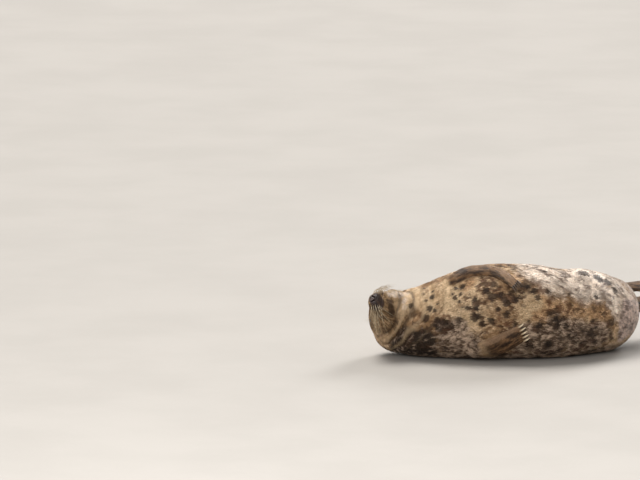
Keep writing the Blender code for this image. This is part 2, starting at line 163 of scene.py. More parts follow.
def subdivideWhere(obj, wanted):
    # wanted says for each face whether it is cut in four
    bpy.ops.object.select_all(action="DESELECT")
    bpy.context.view_layer.objects.active = obj
    obj.select_set(True)
    bpy.context.tool_settings.mesh_select_mode = (False, False, True)
    bpy.ops.object.mode_set(mode="EDIT")
    bpy.ops.mesh.select_all(action="DESELECT")
    bpy.ops.object.mode_set(mode="OBJECT")
    obj.data.polygons.foreach_set("select", wanted)
    bpy.ops.object.mode_set(mode="EDIT")
    bpy.ops.mesh.subdivide(number_cuts=1)
    bpy.ops.object.mode_set(mode="OBJECT")
    obj.select_set(False)


def middleOf(node):
    low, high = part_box(node)
    return np.array((low + high) / 2)


def inBox(points, node, slack=0.006):
    # which points are in the node's box, or close to it
    low, high = (np.array(corner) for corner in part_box(node))
    return ((points > low - slack) & (points < high + slack)).all(1)


# the head's own axes, worked out from the eyes and the nose pad

head = {
    "noseDrop": 15.4,  # degrees that the line from the eyes to the pad dips below the head's axis
    "padAhead": -0.0055,  # the pad's middle, counted from the tip of the nose
    "padUp": 0.0071,
    "padHigh": 0.0215,
    "padWide": 0.0265,
    "mouthUp": -0.0380,  # where the lips meet under the nose
    "mouthRise": 0.070,  # how fast that line climbs towards the cheek
    "mouthCorner": -0.097,
}
sides = {"Left": 1, "Right": -1}
eyeMiddles = {side: middleOf("eye_" + side.lower()) for side in sides}
padMiddle = middleOf("nose_pad")
toLeft = unit(eyeMiddles["Left"] - eyeMiddles["Right"])
toPad = unit(padMiddle - (eyeMiddles["Left"] + eyeMiddles["Right"]) / 2)
drop = math.radians(head["noseDrop"])
toNose = unit(toPad * math.cos(drop) + np.cross(toPad, toLeft) * math.sin(drop))
toLeft = unit(toLeft - toNose * (toLeft @ toNose))
toCrown = np.cross(toNose, toLeft)
noseTip = padMiddle - toNose * head["padAhead"] - toCrown * head["padUp"]
headAxes = np.stack([toNose, toLeft, toCrown], axis=1)


def inHead(points):
    # points in the head's axes: forward from the tip of the nose, left and up
    return (np.asarray(points) - noseTip) @ headAxes


def fromHead(points):
    return noseTip + np.asarray(points, float) @ headAxes.T


# lines that the coat lies along, through the middle of the trunk and of each limb

def runsOf(places):
    # how far along its line each place is
    return np.concatenate([[0], np.cumsum(lengths(np.diff(places, axis=0)))])


def placesAt(run, runs, places):
    return np.stack([np.interp(run, runs, places[:, k]) for k in range(3)], axis=1)


class LieLine:
    def __init__(self, rough, count, blend):
        rough = np.asarray(rough, float)
        runs = runsOf(rough)
        places = placesAt(np.linspace(0, runs[-1], count), runs, rough)
        for _ in range(3):  # rounds off the corners
            places[1:-1] = (places[:-2] + 2 * places[1:-1] + places[2:]) / 4
        self.places = places
        self.ways = unit(np.gradient(places, axis=0))
        self.runs = runsOf(places)
        self.blend = blend
        self.length = self.runs[-1]

    def read(self, points):
        # how far along, which way the line runs there, and how far off to its side and upwards
        run, way, off = np.empty(len(points)), np.empty((len(points), 3)), np.empty((len(points), 2))
        for start in range(0, len(points), 20000):
            some = points[start : start + 20000]
            gap = some[:, None, :] - self.places[None]
            far = (gap**2).sum(2)
            share = np.exp(-(far - far.min(1, keepdims=True)) / (2 * self.blend**2))
            share /= share.sum(1, keepdims=True)
            along = self.runs + (gap * self.ways[None]).sum(2)
            ways = unit(share @ self.ways)
            middle = share @ self.places
            side = unit(np.cross(ways, (0.0, 0.15, 1.0)))
            up = np.cross(side, ways)
            rest = some - middle
            run[start : start + 20000] = (share * along).sum(1)
            way[start : start + 20000] = ways
            off[start : start + 20000] = np.stack([(rest * side).sum(1), (rest * up).sum(1)], axis=1)
        return run, way, off

    def refined(self, points, bins):
        # a better line, through the middles of slices of the points
        run, _, _ = self.read(points)
        places = [self.places[0]]
        for k in range(bins):
            here = points[(run >= self.length * k / bins) & (run < self.length * (k + 1) / bins)]
            if len(here) > 8:
                places.append((here.min(0) + here.max(0)) / 4 + here.mean(0) / 2)
        places.append(self.places[-1])
        return LieLine(places, len(self.places), self.blend)


limbNames = ("foreflipper_left", "foreflipper_right", "hindflipper_left", "hindflipper_right", "tail")
trunkNames = ("head", "jaw", "nose_pad", "eye_left", "eye_right", "neck", "chest", "belly", "loin", "rump")
clawNames = {limb: [f"{limb}_claw_{k}" for k in range(1, 6)] for limb in limbNames if "flipper" in limb}

skinShape = {
    "closing": 0.0005,  # shuts the thin cuts between the solids
    "voxel": 0.0035,
    "trunkRounds": 34,  # of smoothing, to melt away the solids' facets
    "limbRounds": 5,
    "rootReach": 0.078,  # round a flipper's root, where it runs over into the trunk
    "rootRounds": 45,
    "elbow": (-0.285, -0.345, 0.040),  # of the right fore flipper
    "elbowReach": 0.060,
    "rumpHollow": (0.53, -0.05, 0.36),
    "rumpReach": 0.10,
    "rumpDeep": 0.009,
    "swell": 0.0012,  # height of the flesh's wide and narrow unevenness
    "dimple": 0.0005,
    "keep": 0.20,  # share of the triangles that is kept, where the form needs them
    "coatDepth": 0.0025,  # how far the skin lies inside the coat
    "limbDepth": 0.0012,
    "floorGap": 0.0006,
}


def limbNearness(points):
    # for each limb, how near points are to its solid: 1 on it, 0 from 6 mm away
    made = {}
    for limb in limbNames:
        data = nodes[limb].data
        tree = BVHTree.FromPolygons([v.co for v in data.vertices], [p.vertices for p in data.polygons])
        near = np.zeros(len(points))
        for k in np.flatnonzero(inBox(points, limb)):
            far = tree.find_nearest(Vector(points[k]))[3]
            near[k] = 1 - ease(0.0015, 0.006, far)
        made[limb] = near
    return made


skin = joinedCopies(trunkNames + limbNames, "skin")
useModifier(skin, "DISPLACE", strength=skinShape["closing"], mid_level=0.0)
useModifier(skin, "REMESH", mode="VOXEL", voxel_size=skinShape["voxel"])
places = placesOf(skin)
near = limbNearness(places)
onLimb = np.max(list(near.values()), axis=0)
onFace = ease(0.225, 0.165, lengths(inHead(places)))
soften(skin, 0.5 * (1 - onLimb) * (1 - 0.92 * onFace), skinShape["trunkRounds"])
soften(skin, 0.5 * onLimb + 0.5 * onFace * (1 - onLimb), skinShape["limbRounds"])
say(f"skin remeshed, {len(skin.data.vertices)} points")

# the lines of the coat, through the skin's own slices
places = placesOf(skin)
trunkPlaces = places[onLimb < 0.5][::5]
tailLow, tailHigh = (np.array(corner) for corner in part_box("tail"))
tailTip = np.array((tailHigh[0], tailHigh[1], (tailLow[2] + tailHigh[2]) / 2))
trunkMiddles = [middleOf(name) for name in ("head", "neck", "chest", "belly", "loin", "rump")]
trunkLine = LieLine([noseTip, *trunkMiddles, middleOf("tail")], 90, 0.030)
for _ in range(2):
    trunkLine = trunkLine.refined(trunkPlaces, 22)


def limbLine(limb):
    own = places[near[limb] > 0.9][::2]
    tip = tailTip if limb == "tail" else np.mean([middleOf(claw) for claw in clawNames[limb]], axis=0)
    far = lengths(own - tip)
    root = own[far > np.quantile(far, 0.93)].mean(0)
    line = LieLine([root, (root + tip) / 2 + 0.2 * (own.mean(0) - (root + tip) / 2), tip], 30, 0.012)
    for _ in range(2):
        line = line.refined(own, 8)
    return line


limbLines = {limb: limbLine(limb) for limb in limbNames}
say("lines of the coat found: " + ", ".join(f"{k} {v.length:.2f}" for k, v in limbLines.items()))


def farFrom(points, path):
    # the least distance from points to a line of straight stretches, and how far along it that is
    path = np.asarray(path, float)
    least, share = np.full(len(points), 9.0), np.zeros(len(points))
    for k, (one, two) in enumerate(zip(path, path[1:])):
        step = two - one
        t = np.clip((points - one) @ step / (step @ step), 0, 1)
        far = lengths(points - one - t[:, None] * step)
        share = np.where(far < least, (k + t) / (len(path) - 1), share)
        least = np.minimum(least, far)
    return least, share


# the flippers run over into the trunk
places = placesOf(skin)
atRoot = np.zeros(len(places))
for limb, line in limbLines.items():
    if limb != "tail":
        atRoot = np.maximum(atRoot, bump(lengths(places - line.places[1]), skinShape["rootReach"]))
soften(skin, 0.5 * atRoot, skinShape["rootRounds"])


def press(obj, depth):
    # moves points inwards along their normals by this depth
    setPlaces(obj, placesOf(obj) - normalsOf(obj) * np.reshape(depth, (-1, 1)))


# the skin lies inside the coat
thin = np.maximum(onLimb, onFace)
press(skin, skinShape["coatDepth"] + (skinShape["limbDepth"] - skinShape["coatDepth"]) * thin)

digits = {"count": 5, "ridge": 0.0017, "hindSize": 1.3, "webFrom": 0.40, "edge": 0.8}


def digitWave(limb, points):
    # 1 on a digit and 0 on the web between two, and how far the digits show there
    line = limbLines[limb]
    claws = [middleOf(claw) for claw in clawNames[limb]]
    across = unit(claws[-1] - claws[0])
    run = line.read(points)[0]
    sideways = (points - placesAt(run, line.runs, line.places)) @ across
    endWidth = np.linalg.norm(claws[-1] - claws[0]) / (2 * digits["edge"])
    own = near[limb] > 0.5
    rootWidth = np.quantile(np.abs(sideways[own & (run < 0.35 * line.length)]), 0.9)
    part = np.clip(run / line.length, 0, 1)
    share = sideways / (rootWidth + (endWidth - rootWidth) * ease(0.1, 1.0, part))
    ridge = 0.5 + 0.5 * np.cos(digits["count"] * math.pi * share)
    return ridge, ease(digits["webFrom"], 0.8, part) * near[limb]


for limb in clawNames:
    wave, shown = digitWave(limb, places)
    size = digits["hindSize"] if limb.startswith("hind") else 1.0
    press(skin, digits["ridge"] * size * shown * (1 - wave) ** 1.5)
soften(skin, 0.30 * onLimb, 3)

# rolls of fat round the neck, where the head is bent back on it
neckFolds = {
    "from": 0.213,  # behind the nose, where the first roll stands
    # where along the neck, how deep, how wide, and how strong the painted shade in the crease and the painted
    # highlight beside it are
    "creases": (
        (0.022, 0.0078, 0.0100, 1.0),
        (-0.024, 0.0092, 0.0090, 0.9),
        (-0.070, 0.0074, 0.0105, 0.35),
        (-0.112, 0.0046, 0.0120, 0.12),
    ),
    "wander": 0.0070,
    "lip": 0.32,  # height of the rolls beside a crease, of its depth
}
foldWay = unit(toNose - (1.0, 0.0, 0.0))
foldStart = noseTip - toNose * neckFolds["from"]


def neckRun(points):
    return (points - foldStart) @ foldWay + neckFolds["wander"] * ripple(points, 0.13, 5)


places, normals = placesOf(skin), normalsOf(skin)
run = neckRun(places)
throatSide = np.maximum(ease(-0.35, 0.45, -(normals @ toCrown)), ease(0.45, -0.20, normals[:, 1]))
throatSide *= ease(0.46, 0.36, lengths(places - foldStart)) * ease(0.075, -0.015, inHead(places)[:, 2])
carve = np.zeros(len(places))
for at, deep, wide, _ in neckFolds["creases"]:
    carve += deep * bump(run - at, wide) * (0.70 + 0.30 * ripple(places, 0.10, 8 + int(at * 1000) % 5))
    rolls = bump(run - at - 2.1 * wide, 1.6 * wide) + bump(run - at + 2.1 * wide, 1.6 * wide)
    carve -= neckFolds["lip"] * deep * rolls
press(skin, carve * throatSide * (1 - onLimb))

# creases where limbs and hips fold the skin: how deep, how wide, the raised lip beside it, and the path
creases = {
    "underLeft": (0.009, 0.009, 0.3, (-0.425, -0.275, 0.405), (-0.36, -0.32, 0.392), (-0.29, -0.337, 0.397)),
    "behindLeft": (0.004, 0.006, 0.4, (-0.175, -0.16, 0.486), (-0.1, -0.205, 0.481), (-0.035, -0.258, 0.466)),
    "overRight": (0.005, 0.008, 0.5, (-0.37, -0.33, 0.045), (-0.29, -0.385, 0.11), (-0.20, -0.408, 0.172)),
    "besideRight": (0.003, 0.007, 0.5, (-0.31, -0.37, 0.10), (-0.23, -0.40, 0.165), (-0.13, -0.413, 0.215)),
    "hip": (
        0.0028, 0.01, 0.9,
        (0.43, -0.10, 0.37), (0.452, -0.165, 0.30), (0.45, -0.19, 0.19), (0.44, -0.17, 0.09),
    ),
}
places = placesOf(skin)
carve = np.zeros(len(places))
for deep, wide, lip, *path in creases.values():
    far, share = farFrom(places, path)
    taper = ease(0, 0.4, share) * ease(1, 0.6, share)
    carve += deep * taper * (bump(far, wide) - lip * bump(far - 2.2 * wide, 1.3 * wide))
# soft flesh is never quite even
carve += skinShape["swell"] * ripple(places, 0.16, 21) + skinShape["dimple"] * ripple(places, 0.05, 22)
carve += skinShape["rumpDeep"] * bump(lengths(places - skinShape["rumpHollow"]), skinShape["rumpReach"])
press(skin, carve * (1 - onLimb) * (1 - onFace))

useModifier(skin, "DECIMATE", ratio=skinShape["keep"])
places = placesOf(skin)
nearElbow = bump(lengths(places - skinShape["elbow"]), skinShape["elbowReach"])
soften(skin, 0.6 * nearElbow, skinShape["rootRounds"])

eye = {
    "radius": float((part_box("eye_left")[1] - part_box("eye_left")[0]).x) / 2,
    "out": 0.80,
    "up": 0.60,
    "half": 0.74,  # half of the opening's length, as an angle
    "upper": 0.36,
    "lower": -0.36,
    "lid": 0.0012,
    "sunk": 0.0040,
    "reach": 0.030,  # how far from the eye's middle the lids are shaped
    "stretch": (0.054, 0.032),  # the skin from here to there is drawn smoothly up to the lids
    "cover": 0.0010,  # least thickness of the skin over the ball
}
eyeAxes = {}
for side, way in sides.items():
    look = unit(toLeft * way * eye["out"] + toCrown * eye["up"])
    front = unit(toNose - look * (toNose @ look) - toCrown * 0.12)
    eyeAxes[side] = (look, front, unit(np.cross(front, look) * way))


def fromLids(points, side):
    # the angles that points have from the eye, and how far they are outside the lids' opening
    look, front, over = eyeAxes[side]
    rest = points - eyeMiddles[side]
    far = lengths(rest)
    facing = rest @ look
    nearEye = (far < eye["reach"]) & (facing > 0.45 * far)
    facing = np.maximum(facing, 1e-4)
    a, b = np.arctan2(rest @ front, facing), np.arctan2(rest @ over, facing)
    arch = 1 - (a / eye["half"]) ** 2
    upper, lower = eye["upper"] * arch, eye["lower"] * arch
    slope = np.sqrt(1 + (2 * a * np.where(b > 0, eye["upper"], eye["lower"]) / eye["half"] ** 2) ** 2)
    outside = np.where(arch > -0.3, np.maximum(b - upper, lower - b) / slope, 0.5)
    beyond = np.hypot(b, np.maximum(np.abs(a) - eye["half"], 0))
    outside = np.where(np.abs(a) > eye["half"], np.maximum(beyond, 0.001), outside)
    return a, b, upper, lower, outside, nearEye, far


# the longest edge that a face may have, and how far from lips, eyes and nose pad the detail reaches
finest = {"trunk": 0.013, "neck": 0.008, "face": 0.0032, "detail": 0.0014, "rim": 0.0007}
detailReach = {"lips": 0.0065, "lid": 0.026, "pad": 0.034}


def lipLine(points):
    # how far points in the head's axes lie above the line where the lips meet
    return points[:, 2] - head["mouthUp"] + head["mouthRise"] * points[:, 0]


def wantedEdge(points):
    inner = inHead(points)
    wanted = np.full(len(points), finest["trunk"])
    wanted[np.abs((points - foldStart) @ foldWay) < 0.14] = finest["neck"]
    wanted[lengths(inner + (0.07, 0, 0)) < 0.115] = finest["face"]
    detail = (np.abs(lipLine(inner)) < detailReach["lips"]) & (inner[:, 0] > head["mouthCorner"] - 0.008)
    detail &= inner[:, 0] < 0.02
    detail |= lengths(points - padMiddle) < detailReach["pad"]
    for eyeMiddle in eyeMiddles.values():
        detail |= lengths(points - eyeMiddle) < detailReach["lid"]
    wanted[detail] = finest["detail"]
    for side in eyeMiddles:
        *_, outside, nearEye, _ = fromLids(points, side)
        wanted[nearEye & (np.abs(outside) < 0.11)] = finest["rim"]
    return wanted


for _ in range(6):
    faces = skin.data.polygons
    triangle = readOut(faces, "loop_total", 1, np.int32) == 3
    edge = np.sqrt(readOut(faces, "area", 1) * np.where(triangle, 2.3, 1.0))[:, 0]
    tooBig = edge > 1.35 * wantedEdge(readOut(faces, "center", 3))
    if not tooBig.any():
        break
    subdivideWhere(skin, tooBig)
    places = placesOf(skin)
    onFace = ease(0.215, 0.170, lengths(inHead(places)))
    soften(skin, 0.35 * onFace, 2)
say(f"skin refined, {len(trianglesOf(skin))} triangles")

nostril = {
    # out and up on the pad
    "path": ((0.0085, -0.0085), (0.0105, -0.0045), (0.0135, 0.0015), (0.0175, 0.0065)),
    "deep": 0.0090,
    "wide": 0.0026,
    "wing": 0.0016,  # height of the fold round each nostril, then how far out and how wide it is
    "wingOut": 0.0075,
    "wingWide": 0.0042,
    "padEdge": 0.0009,
    "groove": 0.0016,  # between the nostrils
    "grooveWide": 0.0022,
}
mouth = {
    "deep": 0.0042,
    "wide": 0.0017,
    "lip": 0.0011,  # height of the lips beside the cut, then how far from it and how wide they are
    "lipOut": 0.0055,
    "lipWide": 0.004,
    "groove": 0.0016,  # from the nose down to the lips
    "grooveWide": 0.0015,
}
inner = inHead(placesOf(skin))
ahead, left, up = inner.T
inMouth = ease(head["mouthCorner"] - 0.008, head["mouthCorner"] + 0.014, ahead)
lips = lipLine(inner)
carve = mouth["deep"] * bump(lips, mouth["wide"]) * inMouth
lipOut, lipWide = mouth["lipOut"], mouth["lipWide"]
lipRolls = bump(lips - lipOut, lipWide) + 0.8 * bump(lips + lipOut, lipWide)
carve -= mouth["lip"] * lipRolls * inMouth
groove = mouth["groove"] * bump(left, mouth["grooveWide"])
carve += groove * ease(-0.045, -0.02, ahead) * (lips > 0) * ease(-0.008, -0.016, up)
padFar = np.sqrt(((up - head["padUp"]) / head["padHigh"]) ** 2 + (left / head["padWide"]) ** 2)
padFront = ease(-0.034, -0.018, ahead)
onPad = ease(1.10, 0.90, padFar) * padFront
carve += nostril["padEdge"] * (bump(padFar - 1.06, 0.11) * padFront)
nostrilDeep = np.zeros(len(inner))
atFront = ease(-0.034, -0.012, ahead)
for way in sides.values():
    # each nostril is a comma, with its tail turned outwards and up
    comma = [(0.0, way * out, head["padUp"] + rise) for out, rise in nostril["path"]]
    far, _ = farFrom(inner * (0, 1, 1), comma)
    wide = nostril["wide"] * (1 + 0.5 * ease(0.004, -0.008, up - head["padUp"]))
    hole = bump(far / wide, 1.0) * atFront
    nostrilDeep = np.maximum(nostrilDeep, hole)
    carve += nostril["deep"] * hole
    carve -= nostril["wing"] * bump(far - nostril["wingOut"], nostril["wingWide"]) * atFront
groove = nostril["groove"] * bump(left, nostril["grooveWide"])
carve += groove * ease(0.014, 0.0, up - head["padUp"]) * onPad
press(skin, carve)

lidFar = np.full(len(inner), 9.0)
places = placesOf(skin)
for side in sides:
    look, front, over = eyeAxes[side]
    for again in range(2):  # first the points close to the lids' rims are moved on to them
        a, b, upper, lower, outside, nearEye, far = fromLids(places, side)
        onRim = nearEye & (np.abs(a) < eye["half"] * 0.985) & (np.abs(outside) < 0.024)
        b = np.where(onRim, np.where(b > (upper + lower) / 2, upper, lower), b)
        outside = np.where(onRim, 0.0, outside)
        ray = unit(look + front * np.tan(a)[:, None] + over * np.tan(b)[:, None])
        if again == 0:
            places = np.where(onRim[:, None], eyeMiddles[side] + ray * far[:, None], places)
    roll = 1 + 0.6 * bump(outside - 0.10, 0.07) - 0.9 * bump(outside - 0.30, 0.06)
    lidHigh = eye["radius"] + eye["lid"] * roll
    lidHigh -= 0.0006 * bump(outside, 0.03)
    lidShare = ease(1.0, 0.55, outside)  # out there the lids run over into the brow and the cheek
    shell = far + (lidHigh - far) * np.where(far < lidHigh, 1.0, lidShare)
    shell = np.where(outside < 0, eye["radius"] - eye["sunk"], shell)
    places = np.where(nearEye[:, None], eyeMiddles[side] + ray * shell[:, None], places)
    lidFar = np.where(nearEye, np.minimum(lidFar, outside), lidFar)
# round the lids the skin is stretched evenly over the ball, out to the brow and the cheek
setPlaces(skin, places)
stretch = np.zeros(len(places))
for side, (look, _, _) in eyeAxes.items():
    far = lengths(places - eyeMiddles[side] - look * eye["radius"])
    stretch = np.maximum(stretch, ease(*eye["stretch"], far))
stretch *= ease(0.36, 0.60, lidFar)
for _ in range(12):
    soften(skin, 0.5 * stretch, 26)
    places = placesOf(skin)
    for side in eyeAxes:
        rest = places - eyeMiddles[side]
        far, least = lengths(rest), eye["radius"] + eye["cover"]
        short = (far < least) & (stretch > 0)
        places[short] = eyeMiddles[side] + rest[short] * (least / far[short])[:, None]
    setPlaces(skin, places)

# the ears are small holes without a flap
ears = {"behind": -0.168, "out": 0.078, "up": 0.030, "deep": 0.0035, "wide": 0.0035}
inner = inHead(places)
earHole = np.zeros(len(places))
for way in sides.values():
    spot = np.array((ears["behind"], way * ears["out"], ears["up"]))
    nearest = np.argmin(lengths(inner - spot))
    far = lengths((inner - inner[nearest]) * (0.6, 1, 1))
    earHole = np.maximum(earHole, bump(far, ears["wide"]))
press(skin, ears["deep"] * earHole)
places = placesOf(skin)
places[:, 2] = np.maximum(places[:, 2], skinShape["floorGap"])
setPlaces(skin, places)
say(f"skin shaped, {len(trianglesOf(skin))} triangles")

# colours: soft balls of each tint, as place and radius in millimetres, that both the skin and the coat read
tints = {
    "cream": (
        (-600, -240, 300, 75), (-500, -290, 320, 85), (-420, -310, 350, 85), (-660, -240, 260, 50),
        # the first three of these, along the top of the head, are painted highlight from the light above
        (-718, -252, 340, 28), (-690, -222, 335, 36), (-660, -205, 332, 42), (-330, -380, 220, 45),
        (30, -385, 315, 40), (-20, -400, 260, 35),
    ),
    "white": (
        (50, -220, 460, 110), (150, -260, 430, 110), (270, -220, 390, 110), (350, -200, 360, 80),
        # (450, -170, 300) and (462, -170, 230) lie on the hip's ridge: white coat and a painted highlight on
        # the wet bulge there
        (450, -170, 300, 65), (-10, -100, 490, 80), (462, -170, 230, 45), (250, -80, 440, 70),
        (360, -80, 420, 70), (450, -60, 380, 70), (510, -80, 330, 60), (545, -40, 270, 40),
        # these six, along the top of the head and down the first roll of the neck, are painted highlight
        (-715, -250, 340, 18), (-690, -220, 336, 20), (-660, -205, 332, 22), (-635, -205, 334, 20),
        (-632, -238, 302, 18), (-630, -262, 270, 15),
    ),
    "ochre": (
        (167, -364, 277, 60), (260, -310, 270, 60), (367, -257, 257, 75), (60, -390, 290, 70),
        (400, -230, 310, 50), (-330, -300, 410, 60), (-100, -130, 480, 70), (-50, -300, 420, 50),
    ),
    "slate": (
        (111, -359, 97, 120), (0, -380, 120, 100), (250, -310, 120, 100), (350, -250, 110, 90),
        (178, -359, 160, 80), (146, -377, 200, 60), (-400, -350, 100, 90), (-300, -360, 90, 80),
        (-360, -390, 190, 50),
    ),
    "dark": (
        (-620, -300, 120, 65), (-530, -330, 110, 65), (-455, -365, 195, 34), (-650, -250, 60, 70),
        (-540, -300, 70, 80), (-415, -385, 195, 26),
    ),
    "purple": (
        (540, -130, 182, 80), (525, -110, 235, 55), (520, -130, 120, 65), (560, -50, 180, 90),
    ),
    "snout": (
        (-776, -318, 309, 36), (-780, -318, 292, 26), (-786, -300, 325, 30),
    ),
    "lipPale": (
        (-741, -310, 305, 20), (-741, -310, 280, 18), (-748, -300, 330, 18),
    ),
    "chin": (
        (-698, -290, 280, 27), (-698, -290, 252, 26),
    ),
}
# dark spots at given places; most stand where the animal has them, but the two at (-344, -325, 385) and
# (-375, -318, 385) are painted shade in the armpit under the left fore flipper
spots = (
    (-539, -220, 362, 9), (-540, -265, 340, 11), (-492, -280, 359, 12), (-496, -306, 334, 20),
    (-527, -303, 315, 9), (-470, -342, 304, 9), (-511, -336, 281, 18), (-484, -351, 272, 13),
    (-603, -274, 286, 15), (-394, -341, 354, 8), (-350, -354, 356, 10), (-381, -357, 338, 11),
    (-357, -374, 318, 9), (-470, -366, 222, 13), (-434, -379, 209, 18), (-400, -387, 196, 15),
    (-358, -395, 227, 15), (-530, -345, 226, 18), (-615, -307, 155, 22), (-650, -273, 95, 26),
    (-530, -343, 130, 16), (-505, -355, 100, 15), (-221, -364, 378, 17), (-185, -385, 349, 20),
    (-144, -383, 359, 16), (-278, -381, 334, 14), (-66, -393, 337, 16), (-113, -401, 320, 19),
    (-314, -393, 289, 15), (-268, -398, 290, 13), (-278, -404, 245, 21), (-196, -412, 233, 18),
    (-113, -413, 265, 18), (-160, -408, 287, 12), (48, -378, 342, 14), (27, -361, 377, 16),
    (-9, -352, 395, 18), (103, -345, 375, 13), (87, -239, 459, 10), (293, -143, 431, 27),
    (376, -130, 402, 29), (424, -117, 379, 27), (460, -126, 343, 20), (357, -239, 322, 12),
    (336, -282, 204, 12), (373, -250, 271, 9), (1, -409, 227, 12), (146, -377, 232, 20),
    (53, -400, 199, 17), (111, -359, 97, 24), (-714, -292, 278, 10), (-750, -316, 298, 6),
    # the first two here are painted shade in the armpit under the left fore flipper
    (-344, -325, 385, 20), (-375, -318, 385, 14), (-40, -345, 405, 16), (210, -310, 350, 14),
    (250, -345, 220, 14), (-240, -405, 210, 16),
)

# shares of a flipper's length between which its coat turns from the trunk's into its own
furredRoots = {
    "foreflipper_left": (0.06, 0.0),
    "foreflipper_right": (0.42, 0.12),
    "hindflipper_left": (0.15, 0.02),
    "hindflipper_right": (0.15, 0.02),
}


def limbLitEdgesAndRoots(points):
    # the painted highlight along the upper edge of each flipper, and the root of it that has the trunk's own
    # coat
    edge, furred = np.zeros(len(points)), np.zeros(len(points))
    for limb in clawNames:
        here = inBox(points, limb)
        if here.any():
            line = limbLines[limb]
            run = line.read(points[here])[0]
            part = run / line.length
            above = points[here, 2] - placesAt(run, line.runs, line.places)[:, 2]
            # painted highlight: the flipper is paler the higher it lies above its line; on the left fore
            # flipper it reaches lower towards the tip and fades out at the root
            if limb == "foreflipper_left":
                pale = ease(0.005, 0.022, above + 0.017 * ease(0.50, 0.85, part)) * ease(0.10, 0.35, part)
            else:
                pale = ease(0.008, 0.030, above)
            edge[here] = np.maximum(edge[here], pale)
            furred[here] = np.maximum(furred[here], ease(*furredRoots[limb], part))
    return edge, furred


def foldShading(points):
    # painted shade in the neck's creases and painted highlight on the rolls beside them: over 0.5 in a
    # crease, under it on a ridge
    run = neckRun(points)
    inner = inHead(points)
    shown = ease(0.46, 0.34, lengths(points - foldStart)) * ease(0.07, -0.05, inner[:, 2])
    tone = np.zeros(len(points))
    for at, _, wide, dark in neckFolds["creases"]:
        tone += dark * (bump(run - at, wide * 0.9) - 0.9 * bump(run - at + 0.023, 0.011))
    return 0.5 + 0.5 * np.clip(tone, -1, 1) * shown


def paintAt(points, onLimb, bare):
    # the masks that the coat's colours are mixed with, three to a vector
    made = {}
    edge, furred = limbLitEdgesAndRoots(points)
    onLimb = onLimb * (1 - furred)
    for name, balls in tints.items():
        mask = np.zeros(len(points))
        for *place, size in np.array(balls) / 1000:
            mask = np.maximum(mask, ease(1.65, 0.35, lengths(points - place) / size))
        made[name] = mask * (1 - onLimb)
    # painted shade: darker towards the floor on the front side, added to the slate mask
    low = ease(0.085, 0.015, points[:, 2]) * ease(0.30, 0.0, points[:, 1])
    made["slate"] = np.maximum(made["slate"], low * (1 - onLimb))
    # the flippers' painted highlight along their upper edges goes into the cream mask
    made["cream"] = np.maximum(made["cream"], edge * onLimb)
    field = np.zeros(len(points))
    for *place, size in spots:
        far = lengths(points - np.array(place) / 1000)
        field = np.maximum(field, 1 - far / (0.002 * size))
    inner = inHead(points)
    ventral = ease(0.16, -0.22, points[:, 1])  # the belly side, turned to the front
    onHead = ease(0.235, 0.185, lengths(inner))
    mottle = (1 - made["cream"]) * (1 - 0.9 * made["purple"]) * (1 - 0.85 * onHead) * (0.55 + 0.45 * ventral)
    back = (1 - ventral) * (1 - onHead)
    return {
        "paleTints": np.stack([made["cream"], made["white"], made["ochre"]], axis=1),
        "darkTints": np.stack([np.maximum(made["slate"], 0.8 * back), np.maximum(made["dark"], 0.38 * back),
                               made["purple"]], axis=1),
        "spotTints": np.stack([field * (1 - onLimb), mottle * (1 - onLimb), bare], axis=1),
        "bodyParts": np.stack([onHead, onLimb, foldShading(points) * (1 - onLimb)], axis=1),
        "faceTints": np.stack([made["snout"], made["lipPale"], made["chin"]], axis=1),
    }


def addAttributes(mesh, values):
    for name, value in values.items():
        kind = "FLOAT" if value.ndim == 1 else "FLOAT_VECTOR"
        layer = mesh.attributes.new(name, kind, "POINT")
        layer.data.foreach_set("value" if value.ndim == 1 else "vector", value.astype(np.float32).ravel())


def lieAt(points, limbOf):
    # each point's place along its line and off to the sides, and the way of the line there
    run, way, off = trunkLine.read(points)
    lie = np.concatenate([run[:, None], off], axis=1)
    for k, limb in enumerate(limbNames):
        own = limbOf == k
        if own.any():
            limbRun, limbWay, limbOff = limbLines[limb].read(points[own])
            lie[own] = np.concatenate([limbRun[:, None] + 3.0 + k, limbOff], axis=1)
            way[own] = limbWay
    return lie, way


places, normals = placesOf(skin), normalsOf(skin)
near = limbNearness(places)
nearest = np.stack([near[limb] for limb in limbNames], axis=1)
onLimb = nearest.max(1)
limbOf = np.where(onLimb > 0.5, nearest.argmax(1), -1)
lie, way = lieAt(places, limbOf)
bare = np.maximum(onPad, 0.9 * ease(0.10, 0.03, lidFar))
bare = np.maximum(bare, 0.7 * bump(lips, mouth["wide"] * 1.2) * inMouth)
skinPaint = paintAt(places, onLimb, bare)
# painted shade: the nostrils and the ear holes are darkened in the colour
skinPaint |= {"hollow": np.maximum(nostrilDeep, 0.8 * earHole), "tone": np.full(len(places), 0.5)}
addAttributes(skin.data, {"rootPlace": places, "liePlace": lie, **skinPaint})
skin.data.shade_smooth()
say("skin's colours laid out")

